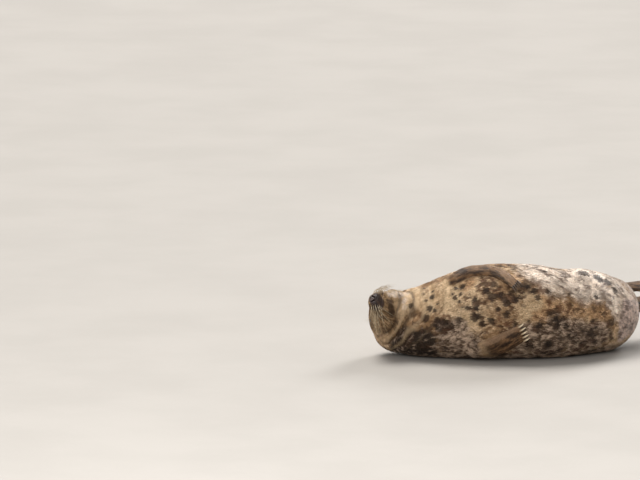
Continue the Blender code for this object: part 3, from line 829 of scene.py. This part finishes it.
# the coat: flat kites of hair, each closed, that lie back along the body
coat = {
    "count": 182000,
    "body": 0.0150,  # length of a tuft on the trunk
    "neck": 0.0120,
    "head": 0.0075,
    "face": 0.0034,
    "limb": 0.0052,
    "width": 0.17,  # of the length
    "lift": (0.030, 0.085),
    "sunk": 0.0004,
    "scatter": 0.16,
    "patch": 0.0030,  # of a tuft on the map
    "most": 31000,  # tufts in one piece
}
draw = np.random.default_rng(41)
corners = readOut(trianglesOf(skin), "vertices", 3, np.int32)
inner = inHead(places)
length = np.full(len(places), coat["body"])
lengthShares = {
    "neck": ease(0.45, 0.30, lengths(inner)),
    "head": ease(0.26, 0.19, lengths(inner)),
    "face": ease(0.13, 0.05, lengths(inner + (0.02, 0, 0.01))),
    "limb": onLimb,
}
for name, share in lengthShares.items():
    length += (coat[name] - length) * share
fromEyes = np.min([lengths(places - middle) for middle in eyeMiddles.values()], axis=0)
nearRim = ease(0.030, 0.0, fromEyes - eye["radius"])
length *= 1 - 0.45 * nearRim * (onLimb < 0.5)
hairy = (onPad < 0.45) & (lidFar > 0.075) & (nostrilDeep < 0.2) & (places[:, 2] > 0.0012)
hairy &= (bump(lips, mouth["wide"]) * inMouth <= 0.3) & (earHole < 0.5)
one, two, three = (places[corners[:, k]] for k in range(3))
area = lengths(np.cross(two - one, three - one)) / 2
weight = area * hairy[corners].all(1) / length[corners].mean(1) ** 2
weight *= np.where(onLimb[corners].mean(1) > 0.5, 0.55, 1.0)
chosen = draw.choice(len(corners), coat["count"], p=weight / weight.sum())
u, v = draw.uniform(size=(2, coat["count"]))
u, v = np.where(u + v > 1, 1 - u, u), np.where(u + v > 1, 1 - v, v)
shares = np.stack([1 - u - v, u, v], axis=1)[:, :, None]
picked = corners[chosen]


def blended(values):
    values = values if values.ndim > 1 else values[:, None]
    return (values[picked] * shares).sum(1)


roots, rootNormals = blended(places), unit(blended(normals))
rootLimb = limbOf[picked[:, 0]]
rootLie, rootWay = lieAt(roots, rootLimb)
fromPad = lengths(roots - padMiddle)
rootWay = rootWay + unit(roots - padMiddle) * (1.6 * ease(0.11, 0.03, fromPad))[:, None]
swirl = np.stack([ripple(roots, 0.05, seed) for seed in (61, 62, 63)], axis=1) * 0.10
rootWay = unit(rootWay + swirl + draw.normal(size=roots.shape) * coat["scatter"] * 0.6)
rootWay = unit(rootWay - rootNormals * (rootWay * rootNormals).sum(1, keepdims=True))
rootSide = np.cross(rootNormals, rootWay)
long = blended(length)[:, 0] * draw.uniform(0.75, 1.25, len(roots))
wide = long * coat["width"] * draw.uniform(0.8, 1.25, len(roots))
lift = draw.uniform(*coat["lift"], len(roots)) * np.where(rootLimb < 0, 1.0, 0.45)
tone = draw.uniform(0, 1, len(roots))
rootOnLimb, rootBare = blended(onLimb)[:, 0], blended(bare)[:, 0]
rootPaint = paintAt(roots, rootOnLimb, rootBare * 0.6)


def tuftPoints(part):
    # root, left, ridge, right and tip of each tuft
    at, up, way, side = roots[part], rootNormals[part], rootWay[part], rootSide[part]
    size, half, rise = long[part, None], wide[part, None] / 2, lift[part, None]
    flank = at + way * size * 0.38 + up * (0.0001 + 0.30 * rise * size)
    curl = side * size * draw.normal(size=(len(at), 1)) * 0.05
    corner = [
        at - up * coat["sunk"],
        flank + side * half,
        flank + way * size * 0.04 + up * half * 0.55,
        flank - side * half,
        at + way * size + up * rise * size + curl,
    ]
    made = np.stack(corner, axis=1)
    made[:, :, 2] = np.maximum(made[:, :, 2], 0.0003 + 0.0002 * np.arange(5)[None])
    return made


tuftFaces = np.array([(0, 2, 1), (1, 2, 4), (0, 3, 2), (3, 4, 2), (0, 1, 3), (1, 4, 3)])
tuftMap = np.array([(-0.5, 0.0), (0.0, 0.5), (0.05, 0.0), (0.0, -0.5), (0.5, 0.0)]) * coat["patch"]


def unwrapped(lieHere):
    # a place from 0 to 1 along the line, and one round it
    along = lieHere[:, 0]
    along = (along - along.min()) / max(np.ptp(along), 1e-6)
    round_ = np.arctan2(lieHere[:, 2], lieHere[:, 1]) / (2 * math.pi) + 0.5
    return 0.004 + 0.992 * np.stack([along, round_], axis=1)


def tuftPiece(name, part):
    points = tuftPoints(part)
    count = len(part)
    mesh = bpy.data.meshes.new(name)
    faces = (tuftFaces[None] + 5 * np.arange(count)[:, None, None]).reshape(-1, 3)
    mesh.vertices.add(count * 5)
    mesh.vertices.foreach_set("co", points.astype(np.float32).ravel())
    mesh.loops.add(len(faces) * 3)
    mesh.loops.foreach_set("vertex_index", faces.astype(np.int32).ravel())
    mesh.polygons.add(len(faces))
    mesh.polygons.foreach_set("loop_start", np.arange(0, len(faces) * 3, 3, dtype=np.int32))
    mesh.update(calc_edges=True)
    mesh.validate()
    each = np.repeat(part, 5)
    values = {key: value[each] for key, value in rootPaint.items()}
    addAttributes(mesh, {"rootPlace": roots[each], "liePlace": rootLie[each], "tone": tone[each], **values,
                         "hollow": np.zeros(len(each))})
    spot = unwrapped(rootLie[part])[:, None, :] + tuftMap[None]
    spot = np.clip(spot.reshape(-1, 2), 0.0, 1.0)
    layer = mesh.uv_layers.new(name="OFBake")
    layer.data.foreach_set("uv", spot[faces.ravel()].astype(np.float32).ravel())
    return placed(name, mesh)


coatPieces = []
trunkTufts = np.flatnonzero(rootLimb < 0)
trunkTufts = trunkTufts[np.argsort(rootLie[trunkTufts, 0])]
parts = np.array_split(trunkTufts, math.ceil(len(trunkTufts) / coat["most"]))
for k, part in enumerate(parts):
    coatPieces.append(tuftPiece(f"coat_{k + 1}", part))
for k, limb in enumerate(limbNames):
    part = np.flatnonzero(rootLimb == k)
    if len(part):
        coatPieces.append(tuftPiece(f"coat_{limb}", part))
say("coat made: " + ", ".join(f"{piece.name} {len(piece.data.polygons)}" for piece in coatPieces))

# eyeballs, each turned so that its pole looks out between the lids
eyeball = {"segments": 48, "rings": 32, "cornea": 0.0008, "corneaEdge": 0.52, "back": 0.0002}
eyeballs = {}
for side in sides:
    look = eyeAxes[side][0]
    turn = Vector(look).to_track_quat("Z", "Y").to_euler()
    bpy.ops.object.select_all(action="DESELECT")
    bpy.ops.mesh.primitive_uv_sphere_add(
        segments=eyeball["segments"], ring_count=eyeball["rings"], radius=eye["radius"] - eyeball["back"],
        location=Vector(eyeMiddles[side]), rotation=turn)
    ball = justAdded("eyeball" + side)
    places = placesOf(ball)
    rest = places - eyeMiddles[side]
    angle = np.arccos(np.clip(unit(rest) @ look, -1, 1))
    rest = rest * (1 + eyeball["cornea"] / eye["radius"] * ease(eyeball["corneaEdge"], 0.2, angle))[:, None]
    setPlaces(ball, eyeMiddles[side] + rest)
    addAttributes(ball.data, {"fromPole": angle})
    ball.data.shade_smooth()
    eyeballs[side] = ball

# claws: the solids' own, made rounder and let into the skin
clawShape = {"rounds": 2, "into": 0.0065, "fatter": 0.0009}
claws = {}
for limb in clawNames:
    piece = joinedCopies(clawNames[limb], limb + "_claws")
    places = placesOf(piece)
    back = unit(limbLines[limb].places[-6] - limbLines[limb].places[-1])
    along = np.zeros(len(places))
    middles = np.stack([middleOf(name) for name in clawNames[limb]])
    which = np.linalg.norm(places[:, None] - middles[None], axis=2).argmin(1)
    for k, middle in enumerate(middles):
        own = which == k
        reach = (places[own] - middle) @ back
        along[own] = (reach - reach.min()) / np.ptp(reach)
        places[own] += back * (clawShape["into"] * ease(0.45, 1.0, along[own]))[:, None]
    setPlaces(piece, places)
    addAttributes(piece.data, {"along": along})
    useModifier(piece, "SUBSURF", levels=clawShape["rounds"], render_levels=clawShape["rounds"])
    useModifier(piece, "DISPLACE", strength=clawShape["fatter"], mid_level=0.0)
    piece.data.shade_smooth()
    claws[limb] = piece
say("eyes and claws made")

# whiskers: bent, tapering hairs from the pads beside the nose and over the eyes
whiskerShape = {
    "rows": 5,
    "perRow": 8,
    "long": (0.055, 0.135),
    "thick": 0.00075,
    "away": 0.62,  # the way a hair sets off: off the skin, to the left and back
    "sideways": {"Left": 0.60, "Right": -0.42},
    "back": {"Left": 0.56, "Right": 0.10},
    "bend": {"Left": 1.15, "Right": 0.75},
    "leftThick": 1.3,  # the left ones stand up against the light
    "around": 5,  # points in each ring of a hair
    "steps": 11,
    "clear": 0.0022,  # the least height over the skin
    "brows": 5,
    "browLong": (0.022, 0.046),
    "browThick": 0.55,
}
skinTree = BVHTree.FromObject(skin, bpy.context.evaluated_depsgraph_get())


def hairTube(path, thick):
    # points and faces of a closed tube that thins out towards its tip
    steps, around = len(path), whiskerShape["around"]
    ways = unit(np.gradient(path, axis=0))
    side = unit(np.cross(ways, toNose + 0.3 * toCrown))
    up = np.cross(side, ways)
    turn = np.arange(around) * 2 * math.pi / around
    thin = thick * (1 - np.linspace(0, 1, steps) ** 1.6 * 0.88)
    ring = side[:, None] * np.cos(turn)[None, :, None] + up[:, None] * np.sin(turn)[None, :, None]
    points = (path[:, None] + ring * thin[:, None, None]).reshape(-1, 3)
    faces = []
    for step in range(steps - 1):
        for k in range(around):
            a, b = step * around + k, step * around + (k + 1) % around
            faces.append((a, b, b + around, a + around))
    faces.append(tuple(range(around))[::-1])
    faces.append(tuple(range((steps - 1) * around, steps * around)))
    return points, faces


def keptClear(path):
    # lifts a whisker's points off the skin that they would run into
    for k in range(1, len(path)):
        for _ in range(2):
            near, normal, _, _ = skinTree.find_nearest(Vector(path[k]))
            high = (Vector(path[k]) - near).dot(normal)
            wanted = whiskerShape["clear"] * min(1.0, k / 3)
            if high < wanted:
                path[k] = np.array(Vector(path[k]) + normal * (wanted - high))
    path[:, 2] = np.maximum(path[:, 2], 0.002)
    return path


def onSkin(spot):
    # the closest place on the skin, and its normal
    place, normal, _, _ = skinTree.find_nearest(Vector(spot))
    return np.array(place), np.array(normal)


def addHair(root, out, bend, long, thick):
    t = np.linspace(0, 1, whiskerShape["steps"])[:, None]
    path = root + out * long * t + bend * long * t**2
    path[0] -= out * 0.002  # lets the root into the skin
    points, faces = hairTube(keptClear(path), thick)
    first = len(whiskerPoints) * len(points)
    whiskerPoints.append(points)
    whiskerFaces.extend(tuple(first + p for p in face) for face in faces)


whiskerPoints, whiskerFaces = [], []
for side, way in sides.items():
    for row in range(whiskerShape["rows"]):
        for k in range(whiskerShape["perRow"]):
            part = (k + 0.5 * (row % 2)) / whiskerShape["perRow"]
            spot = fromHead((-0.014 - 0.050 * part, way * (0.030 + 0.030 * part), -0.026 + 0.0085 * row))
            root, normal = onSkin(spot + draw.normal(size=3) * 0.0011)
            long = draw.uniform(0.85, 1.1) * np.interp(part, (0, 1), whiskerShape["long"])
            out = normal * whiskerShape["away"] + toLeft * whiskerShape["sideways"][side]
            out = out - toNose * (whiskerShape["back"][side] + 0.42 * part)
            out = unit(out + draw.normal(size=3) * 0.06)
            bend = -toCrown * (0.34 + 0.10 * row / 4) - toNose * 0.30 - toLeft * way * 0.05
            bend = (bend + draw.normal(size=3) * 0.05) * whiskerShape["bend"][side]
            thick = whiskerShape["thick"] * draw.uniform(0.8, 1.15)
            addHair(root, out, bend, long, thick * (whiskerShape["leftThick"] if side == "Left" else 1.0))
    look, front, over = eyeAxes[side]
    for k in range(whiskerShape["brows"]):
        spot = eyeMiddles[side] + look * 0.016 + over * (0.019 + 0.004 * (k % 2))
        spot = spot + front * (0.005 * k - 0.004)
        root, normal = onSkin(spot + draw.normal(size=3) * 0.0012)
        out = unit(normal * 0.55 - toNose * 0.6 + toLeft * way * 0.35 + draw.normal(size=3) * 0.20)
        long = draw.uniform(*whiskerShape["browLong"])
        addHair(root, out, -toNose * 0.45, long, whiskerShape["thick"] * whiskerShape["browThick"])
whiskerMesh = bpy.data.meshes.new("whiskers")
whiskerMesh.from_pydata(np.concatenate(whiskerPoints).tolist(), [], whiskerFaces)
whiskerMesh.update()
alongHair = np.repeat(np.linspace(0, 1, whiskerShape["steps"]), whiskerShape["around"])
addAttributes(whiskerMesh, {"along": np.tile(alongHair, len(whiskerPoints))})
whiskerMesh.shade_smooth()
whiskers = placed("whiskers", whiskerMesh)
say(f"whiskers made, {len(whiskerFaces)} faces")


# materials

class Wire:
    # one socket of a material, so that the sums on it can be written as sums
    def __init__(self, tree, socket=None):
        self.tree = tree
        self.socket = socket

    def node(self, kind, settings=None, sockets=None, out=0):
        made = self.tree.nodes.new(kind)
        for name, value in (settings or {}).items():
            setattr(made, name, value)
        for name, value in (sockets or {}).items():
            self.feed(made.inputs[name], value)
        return Wire(self.tree, made.outputs[out])

    def feed(self, target, value):
        if isinstance(value, Wire):
            self.tree.links.new(value.socket, target)
        else:
            target.default_value = value

    def maths(self, operation, *parts):
        # works on plain values, and on vectors or colours if one of the parts is that
        kinds = [part.socket.type if isinstance(part, Wire) else type(part).__name__ for part in parts]
        if all(kind in ("VALUE", "float", "int") for kind in kinds):
            return self.node("ShaderNodeMath", {"operation": operation}, dict(enumerate(parts)))
        parts = [part if isinstance(part, (Wire, tuple)) else (part, part, part) for part in parts]
        return self.node("ShaderNodeVectorMath", {"operation": operation}, dict(enumerate(parts)))

    def __add__(self, other):
        return self.maths("ADD", self, other)

    def __radd__(self, other):
        return self.maths("ADD", other, self)

    def __sub__(self, other):
        return self.maths("SUBTRACT", self, other)

    def __rsub__(self, other):
        return self.maths("SUBTRACT", other, self)

    def __mul__(self, other):
        return self.maths("MULTIPLY", self, other)

    def atLeast(self, other):
        return self.maths("MAXIMUM", self, other)

    def eased(self, low, high):
        settings = {"interpolation_type": "SMOOTHSTEP"}
        flip = low > high
        sockets = {"Value": self, "From Min": min(low, high), "From Max": max(low, high)}
        sockets |= {"To Min": 1.0, "To Max": 0.0} if flip else {}
        return self.node("ShaderNodeMapRange", settings, sockets)

    def mixed(self, one, two):
        # one where this wire is 0 and two where it is 1
        colours = [part if isinstance(part, Wire) else (*part, 1.0) for part in (one, two)]
        return self.node("ShaderNodeMix", {"data_type": "RGBA"}, {0: self, 6: colours[0], 7: colours[1]}, 2)

    def read(self, name, out="Vector"):
        return self.node("ShaderNodeAttribute", {"attribute_name": name}, out=out)

    def parts(self):
        return [self.node("ShaderNodeSeparateXYZ", sockets={0: self}, out=k) for k in range(3)]

    def place(self):
        return self.node("ShaderNodeTexCoord", out="Object")

    def noise(self, scale, detail=3.0, rough=0.55, out=0):
        sockets = {"Vector": self, "Scale": scale, "Detail": detail, "Roughness": rough}
        return self.node("ShaderNodeTexNoise", sockets=sockets, out=out)


def dress(piece, material):
    piece.data.materials.clear()
    piece.data.materials.append(material)


def newMaterial(name):
    # the material, and a first wire for it
    material = bpy.data.materials.new(name)
    material.use_nodes = True
    return material, Wire(material.node_tree)


def finish(wire, **values):
    shader = wire.tree.nodes["Principled BSDF"]
    for name, value in values.items():
        wire.feed(shader.inputs[name.replace("_", " ")], value)


coatColours = {
    "tan": (0.34, 0.200, 0.098),
    "sand": (0.74, 0.54, 0.34),
    "cream": (0.66, 0.48, 0.295),
    "creamDeep": (0.47, 0.305, 0.165),
    "white": (1.0, 0.86, 0.73),
    "whiteDeep": (0.78, 0.62, 0.49),
    "ochre": (0.64, 0.41, 0.225),
    "ochreDeep": (0.37, 0.21, 0.10),
    "rust": (0.155, 0.066, 0.028),
    "umber": (0.048, 0.024, 0.011),
    "dark": (0.018, 0.010, 0.006),
    "slate": (0.088, 0.054, 0.034),
    "slatePale": (0.52, 0.385, 0.285),
    "purple": (0.72, 0.56, 0.48),
    "purpleDeep": (0.20, 0.135, 0.11),
    "greyStreak": (0.20, 0.135, 0.098),
    "head": (0.072, 0.038, 0.015),
    "headPale": (0.44, 0.285, 0.145),
    "flipper": (0.040, 0.019, 0.008),
    "flipperPale": (0.25, 0.136, 0.064),
    "snout": (0.075, 0.043, 0.030),
    "flipperLitEdge": (0.33, 0.205, 0.12),
    "leather": (0.032, 0.021, 0.019),
    "leatherPale": (0.082, 0.053, 0.046),
    "black": (0.005, 0.004, 0.004),
}


def coatMaterial(name, bumpy):
    material, wire = newMaterial(name)
    c = coatColours
    place, lie = wire.read("rootPlace"), wire.read("liePlace")
    tone, hollow = wire.read("tone", "Fac"), wire.read("hollow", "Fac")
    cream, white, ochre = wire.read("paleTints").parts()
    slate, dark, purple = wire.read("darkTints").parts()
    spots, mottle, bare = wire.read("spotTints").parts()
    onHead, onLimb, foldShade = wire.read("bodyParts").parts()
    snout, lipPale, chin = wire.read("faceTints").parts()
    ragged = place + (place.noise(15.0, 3.0, 0.6, out=1) - (0.5, 0.5, 0.5)) * 0.07
    broad = place.noise(5.0, 3.0)
    cloud = ragged.noise(12.0, 4.0, 0.6)
    fine = ragged.noise(48.0, 4.0, 0.65)
    drawn = (lie * (38.0, 420.0, 420.0)).noise(1.0, 2.0, 0.6)  # streaks that follow the hair
    loose = (lie * (15.0, 55.0, 55.0)).noise(1.0, 4.0, 0.62)
    stripes = (lie * (9.0, 105.0, 105.0)).noise(1.0, 2.0, 0.55)  # down the muzzle
    speck = ragged.noise(120.0, 2.0, 0.6)
    x, y, z = ragged.parts()
    slant = {"X": x * 0.84 - z * 0.54, "Y": y, "Z": x * 0.54 + z * 0.84}
    slanted = (wire.node("ShaderNodeCombineXYZ", sockets=slant) * (15.0, 26.0, 46.0)).noise(1.0, 3.0, 0.6)

    def edged(mask, low=0.22, high=0.72, cloudy=0.95, rough=0.45):
        # the mask with a broken, uneven edge
        return (mask + (cloud - 0.5) * cloudy + (fine - 0.5) * rough).eased(low, high)

    def frayed(mask, rough, low, high):
        return (mask + (fine - 0.5) * rough).eased(low, high)

    def spread(one, two, low=0.42, high=0.60):
        # two shades that run into each other
        return (cloud * 0.5 + fine * 0.5).eased(low, high).mixed(c[one], c[two])

    dusky = slate.atLeast(dark)
    # blotches, crowded on the flank and few on the throat
    blotch = ragged.noise(17.0, 3.0, 0.55) * 0.6 + ragged.noise(36.0, 2.0, 0.5) * 0.4
    blotch = (blotch + (fine - 0.5) * 0.12 + (mottle - 1.0) * 0.22).eased(0.495, 0.555)
    blotchColour = cloud.eased(0.42, 0.60).mixed(c["umber"], c["rust"])
    blotchColour = (dusky * 0.7).mixed(blotchColour, c["dark"])
    # grey streaks through the white, light flecks in the dark
    streak = (slanted * 0.75 + fine * 0.25).eased(0.495, 0.58)
    fleck = (loose * 0.6 + fine * 0.4).eased(0.51, 0.60)
    stripe = stripes * 0.8 + fine * 0.2
    headColour = (loose * 0.34 + drawn * 0.46 + fine * 0.2).eased(0.45, 0.55).mixed(c["head"], c["headPale"])
    headColour = (stripe.eased(0.50, 0.56) * 0.75).mixed(headColour, c["umber"])
    headColour = (stripe.eased(0.48, 0.41) * 0.50).mixed(headColour, c["creamDeep"])
    limbColour = (loose * 0.8 + drawn * 0.2).eased(0.42, 0.64).mixed(c["flipper"], c["flipperPale"])
    # painted highlight along the flippers' upper edges, read from the cream mask
    limbColour = (frayed(cream, 0.8, 0.2, 0.9) * 0.75).mixed(limbColour, c["flipperLitEdge"])
    colour = (broad * 0.5 + fine * 0.5).eased(0.43, 0.60).mixed(c["tan"], c["sand"])
    layers = (
        (edged(ochre), spread("ochreDeep", "ochre", 0.40, 0.56)),
        (edged(cream), spread("creamDeep", "cream", 0.36, 0.52)),
        (edged(white, 0.12, 0.86), spread("whiteDeep", "white", 0.36, 0.52)),
        (edged(slate, 0.20, 0.80) * 0.92, spread("slate", "slatePale", 0.43, 0.59)),
        (edged(dark, 0.28, 0.72) * 0.95, c["dark"]),
        (edged(purple, 0.25, 0.65), spread("purpleDeep", "purple", 0.40, 0.58)),
        (blotch * mottle * (1.0 - white * 0.62) * 0.90, blotchColour),
        (streak * white * 0.85, c["greyStreak"]),
        (fleck * dusky * 0.80, c["slatePale"]),
        # the spots that have their own places
        (edged(spots, 0.38, 0.60, 1.15, 0.75) * 0.88, cloud.eased(0.40, 0.62).mixed(c["dark"], c["umber"])),
        # the head, with its own patches, and the painted shade and highlight on the rolls behind it
        (onHead * (1.0 - cream * 0.85) * 0.92, headColour),
        (frayed(lipPale, 1.3, 0.30, 0.90) * stripes.eased(0.46, 0.56), c["creamDeep"]),
        (frayed(chin + (drawn - 0.5) * 0.5, 1.0, 0.25, 0.80) * 0.85, c["umber"]),
        # painted shade in the neck's creases, then painted highlight on the rolls between them
        (frayed(foldShade, 0.30, 0.55, 0.95) * 0.60, c["umber"]),
        (frayed(foldShade, 0.30, 0.45, 0.02) * 0.62, c["cream"]),
        (frayed(snout, 0.4, 0.30, 0.65), spread("leather", "snout")),
        (onLimb, limbColour),
    )
    for mask, tint in layers:
        colour = mask.mixed(colour, tint)
    colour = colour * (drawn * 0.48 + tone * 0.32 + speck * 0.46 + fine * 0.90 - 0.08)
    colour = bare.mixed(colour, fine.eased(0.42, 0.62).mixed(c["leather"], c["leatherPale"]))
    # painted shade: the nostrils and the ear holes go black
    colour = hollow.mixed(colour, c["black"])
    rough = 0.54 - bare * 0.20 + (drawn - 0.5) * 0.22 - purple * 0.24 - snout * 0.12
    finish(wire, Base_Color=colour, Roughness=rough, Specular_IOR_Level=0.32)
    if bumpy:
        high = {"Strength": 0.55, "Distance": 0.0012, "Height": drawn + fine * 0.5}
        finish(wire, Normal=wire.node("ShaderNodeBump", sockets=high))
    return material


dress(skin, coatMaterial("sealSkin", True))
tuftMaterial = coatMaterial("sealCoat", False)
for piece in coatPieces:
    dress(piece, tuftMaterial)

eyeMaterial, wire = newMaterial("sealEye")
angle = wire.read("fromPole", "Fac")
place = wire.place()
fibres = place.noise(900.0, 3.0)
iris = fibres.eased(0.35, 0.65).mixed((0.018, 0.009, 0.005), (0.040, 0.020, 0.010))
colour = angle.eased(0.20, 0.23).mixed((0.003, 0.003, 0.004), iris)
colour = angle.eased(0.50, 0.62).mixed(colour, (0.020, 0.014, 0.012))
finish(wire, Base_Color=colour, Roughness=0.10 + fibres * 0.06, Coat_Weight=0.6, Coat_Roughness=0.03)
for ball in eyeballs.values():
    dress(ball, eyeMaterial)

clawColours = {
    "pale": ((0.82, 0.68, 0.47), (0.36, 0.25, 0.15)),  # at the tip and at the root
    "dusky": ((0.12, 0.078, 0.050), (0.035, 0.022, 0.015)),
}
clawMaterials = {}
for name, (tipColour, rootColour) in clawColours.items():
    material, wire = newMaterial(name + "Claw")
    place = wire.place()
    along = wire.read("along", "Fac")
    bands = wire.maths("SINE", along * 26.0 + place.noise(260.0) * 2.0)  # fine growth rings
    grain = place.noise(420.0, 3.0)
    colour = (along + (grain - 0.5) * 0.5).eased(0.35, 1.0).mixed(tipColour, rootColour)
    colour = colour * (0.86 + grain * 0.22 + bands * 0.05)
    finish(wire, Base_Color=colour, Roughness=0.30 + grain * 0.22)
    clawMaterials[name] = material
for limb, piece in claws.items():
    dress(piece, clawMaterials["pale" if limb == "foreflipper_right" else "dusky"])

whiskerMaterial, wire = newMaterial("whisker")
along = wire.read("along", "Fac")
place = wire.place()
# the upper ones are browner
tipColour = place.parts()[2].eased(0.340, 0.365).mixed((0.62, 0.50, 0.33), (0.36, 0.26, 0.15))
colour = (along + (place.noise(120.0) - 0.5) * 0.3).eased(0.0, 0.25).mixed((0.24, 0.17, 0.10), tipColour)
finish(wire, Base_Color=colour, Roughness=0.34 + along * 0.1)
dress(whiskers, whiskerMaterial)
say("materials made")

# what each piece stands for
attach(skin, "root")
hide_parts("head", "jaw", "nose_pad", "neck", "chest", "belly", "loin", "rump", *limbNames)
for piece in coatPieces:
    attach(piece, "root")
for side, ball in eyeballs.items():
    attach(ball, "root")
    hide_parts("eye_" + side.lower())
for limb, piece in claws.items():
    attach(piece, "root")
    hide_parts(*clawNames[limb])
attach(whiskers, "root")

# floor, light and camera
bpy.ops.object.select_all(action="DESELECT")
bpy.ops.mesh.primitive_plane_add(size=120, location=(0, 20, 0))
floor = justAdded("floor")
floorMaterial, wire = newMaterial("paleFloor")
place = wire.place()
colour = place.noise(1.3, 4.0).eased(0.3, 0.7).mixed((0.375, 0.352, 0.325), (0.40, 0.376, 0.348))
finish(wire, Base_Color=colour, Roughness=0.75 + place.noise(40.0) * 0.15)
dress(floor, floorMaterial)

# each light's kind, settings, place and the way it shines
lights = {
    "skylight": ("SUN", {"energy": 3.4, "angle": math.radians(34), "color": (1.0, 0.975, 0.94)}, (0, 0, 0),
                 (0.30, -0.42, -1.0)),
    "fill": ("AREA", {"energy": 95, "size": 3.6}, (-2.0, -5.2, 3.0), (2.0, 5.2, -2.8)),
    "rim": ("SUN", {"energy": 2.1, "angle": math.radians(20)}, (0, 0, 0), (-0.42, -0.80, -0.48)),
}
for name, (kind, settings, place, way) in lights.items():
    light = bpy.data.lights.new(name, kind)
    for setting, value in settings.items():
        setattr(light, setting, value)
    lamp = placed(name, light)
    lamp.location = place
    lamp.rotation_euler = Vector(way).to_track_quat("-Z", "Y").to_euler()

sky = {"Color": (1.0, 0.98, 0.95, 1), "Strength": 0.42}
world = bpy.data.worlds.new("softSky")
world.use_nodes = True
for name, value in sky.items():
    world.node_tree.nodes["Background"].inputs[name].default_value = value
bpy.context.scene.world = world
bpy.context.scene.view_settings.view_transform = "Standard"

view = {"place": (-1.0734, -39.458, 7.537), "turn": (80.0, 0.0, 0.0), "lens": 432.7}
cameraData = bpy.data.cameras.new("camera")
cameraData.lens = view["lens"]
cameraData.clip_end = 300
camera = placed("camera", cameraData)
camera.location = view["place"]
camera.rotation_euler = [math.radians(turn) for turn in view["turn"]]
bpy.context.scene.camera = camera

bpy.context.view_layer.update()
say("ready")
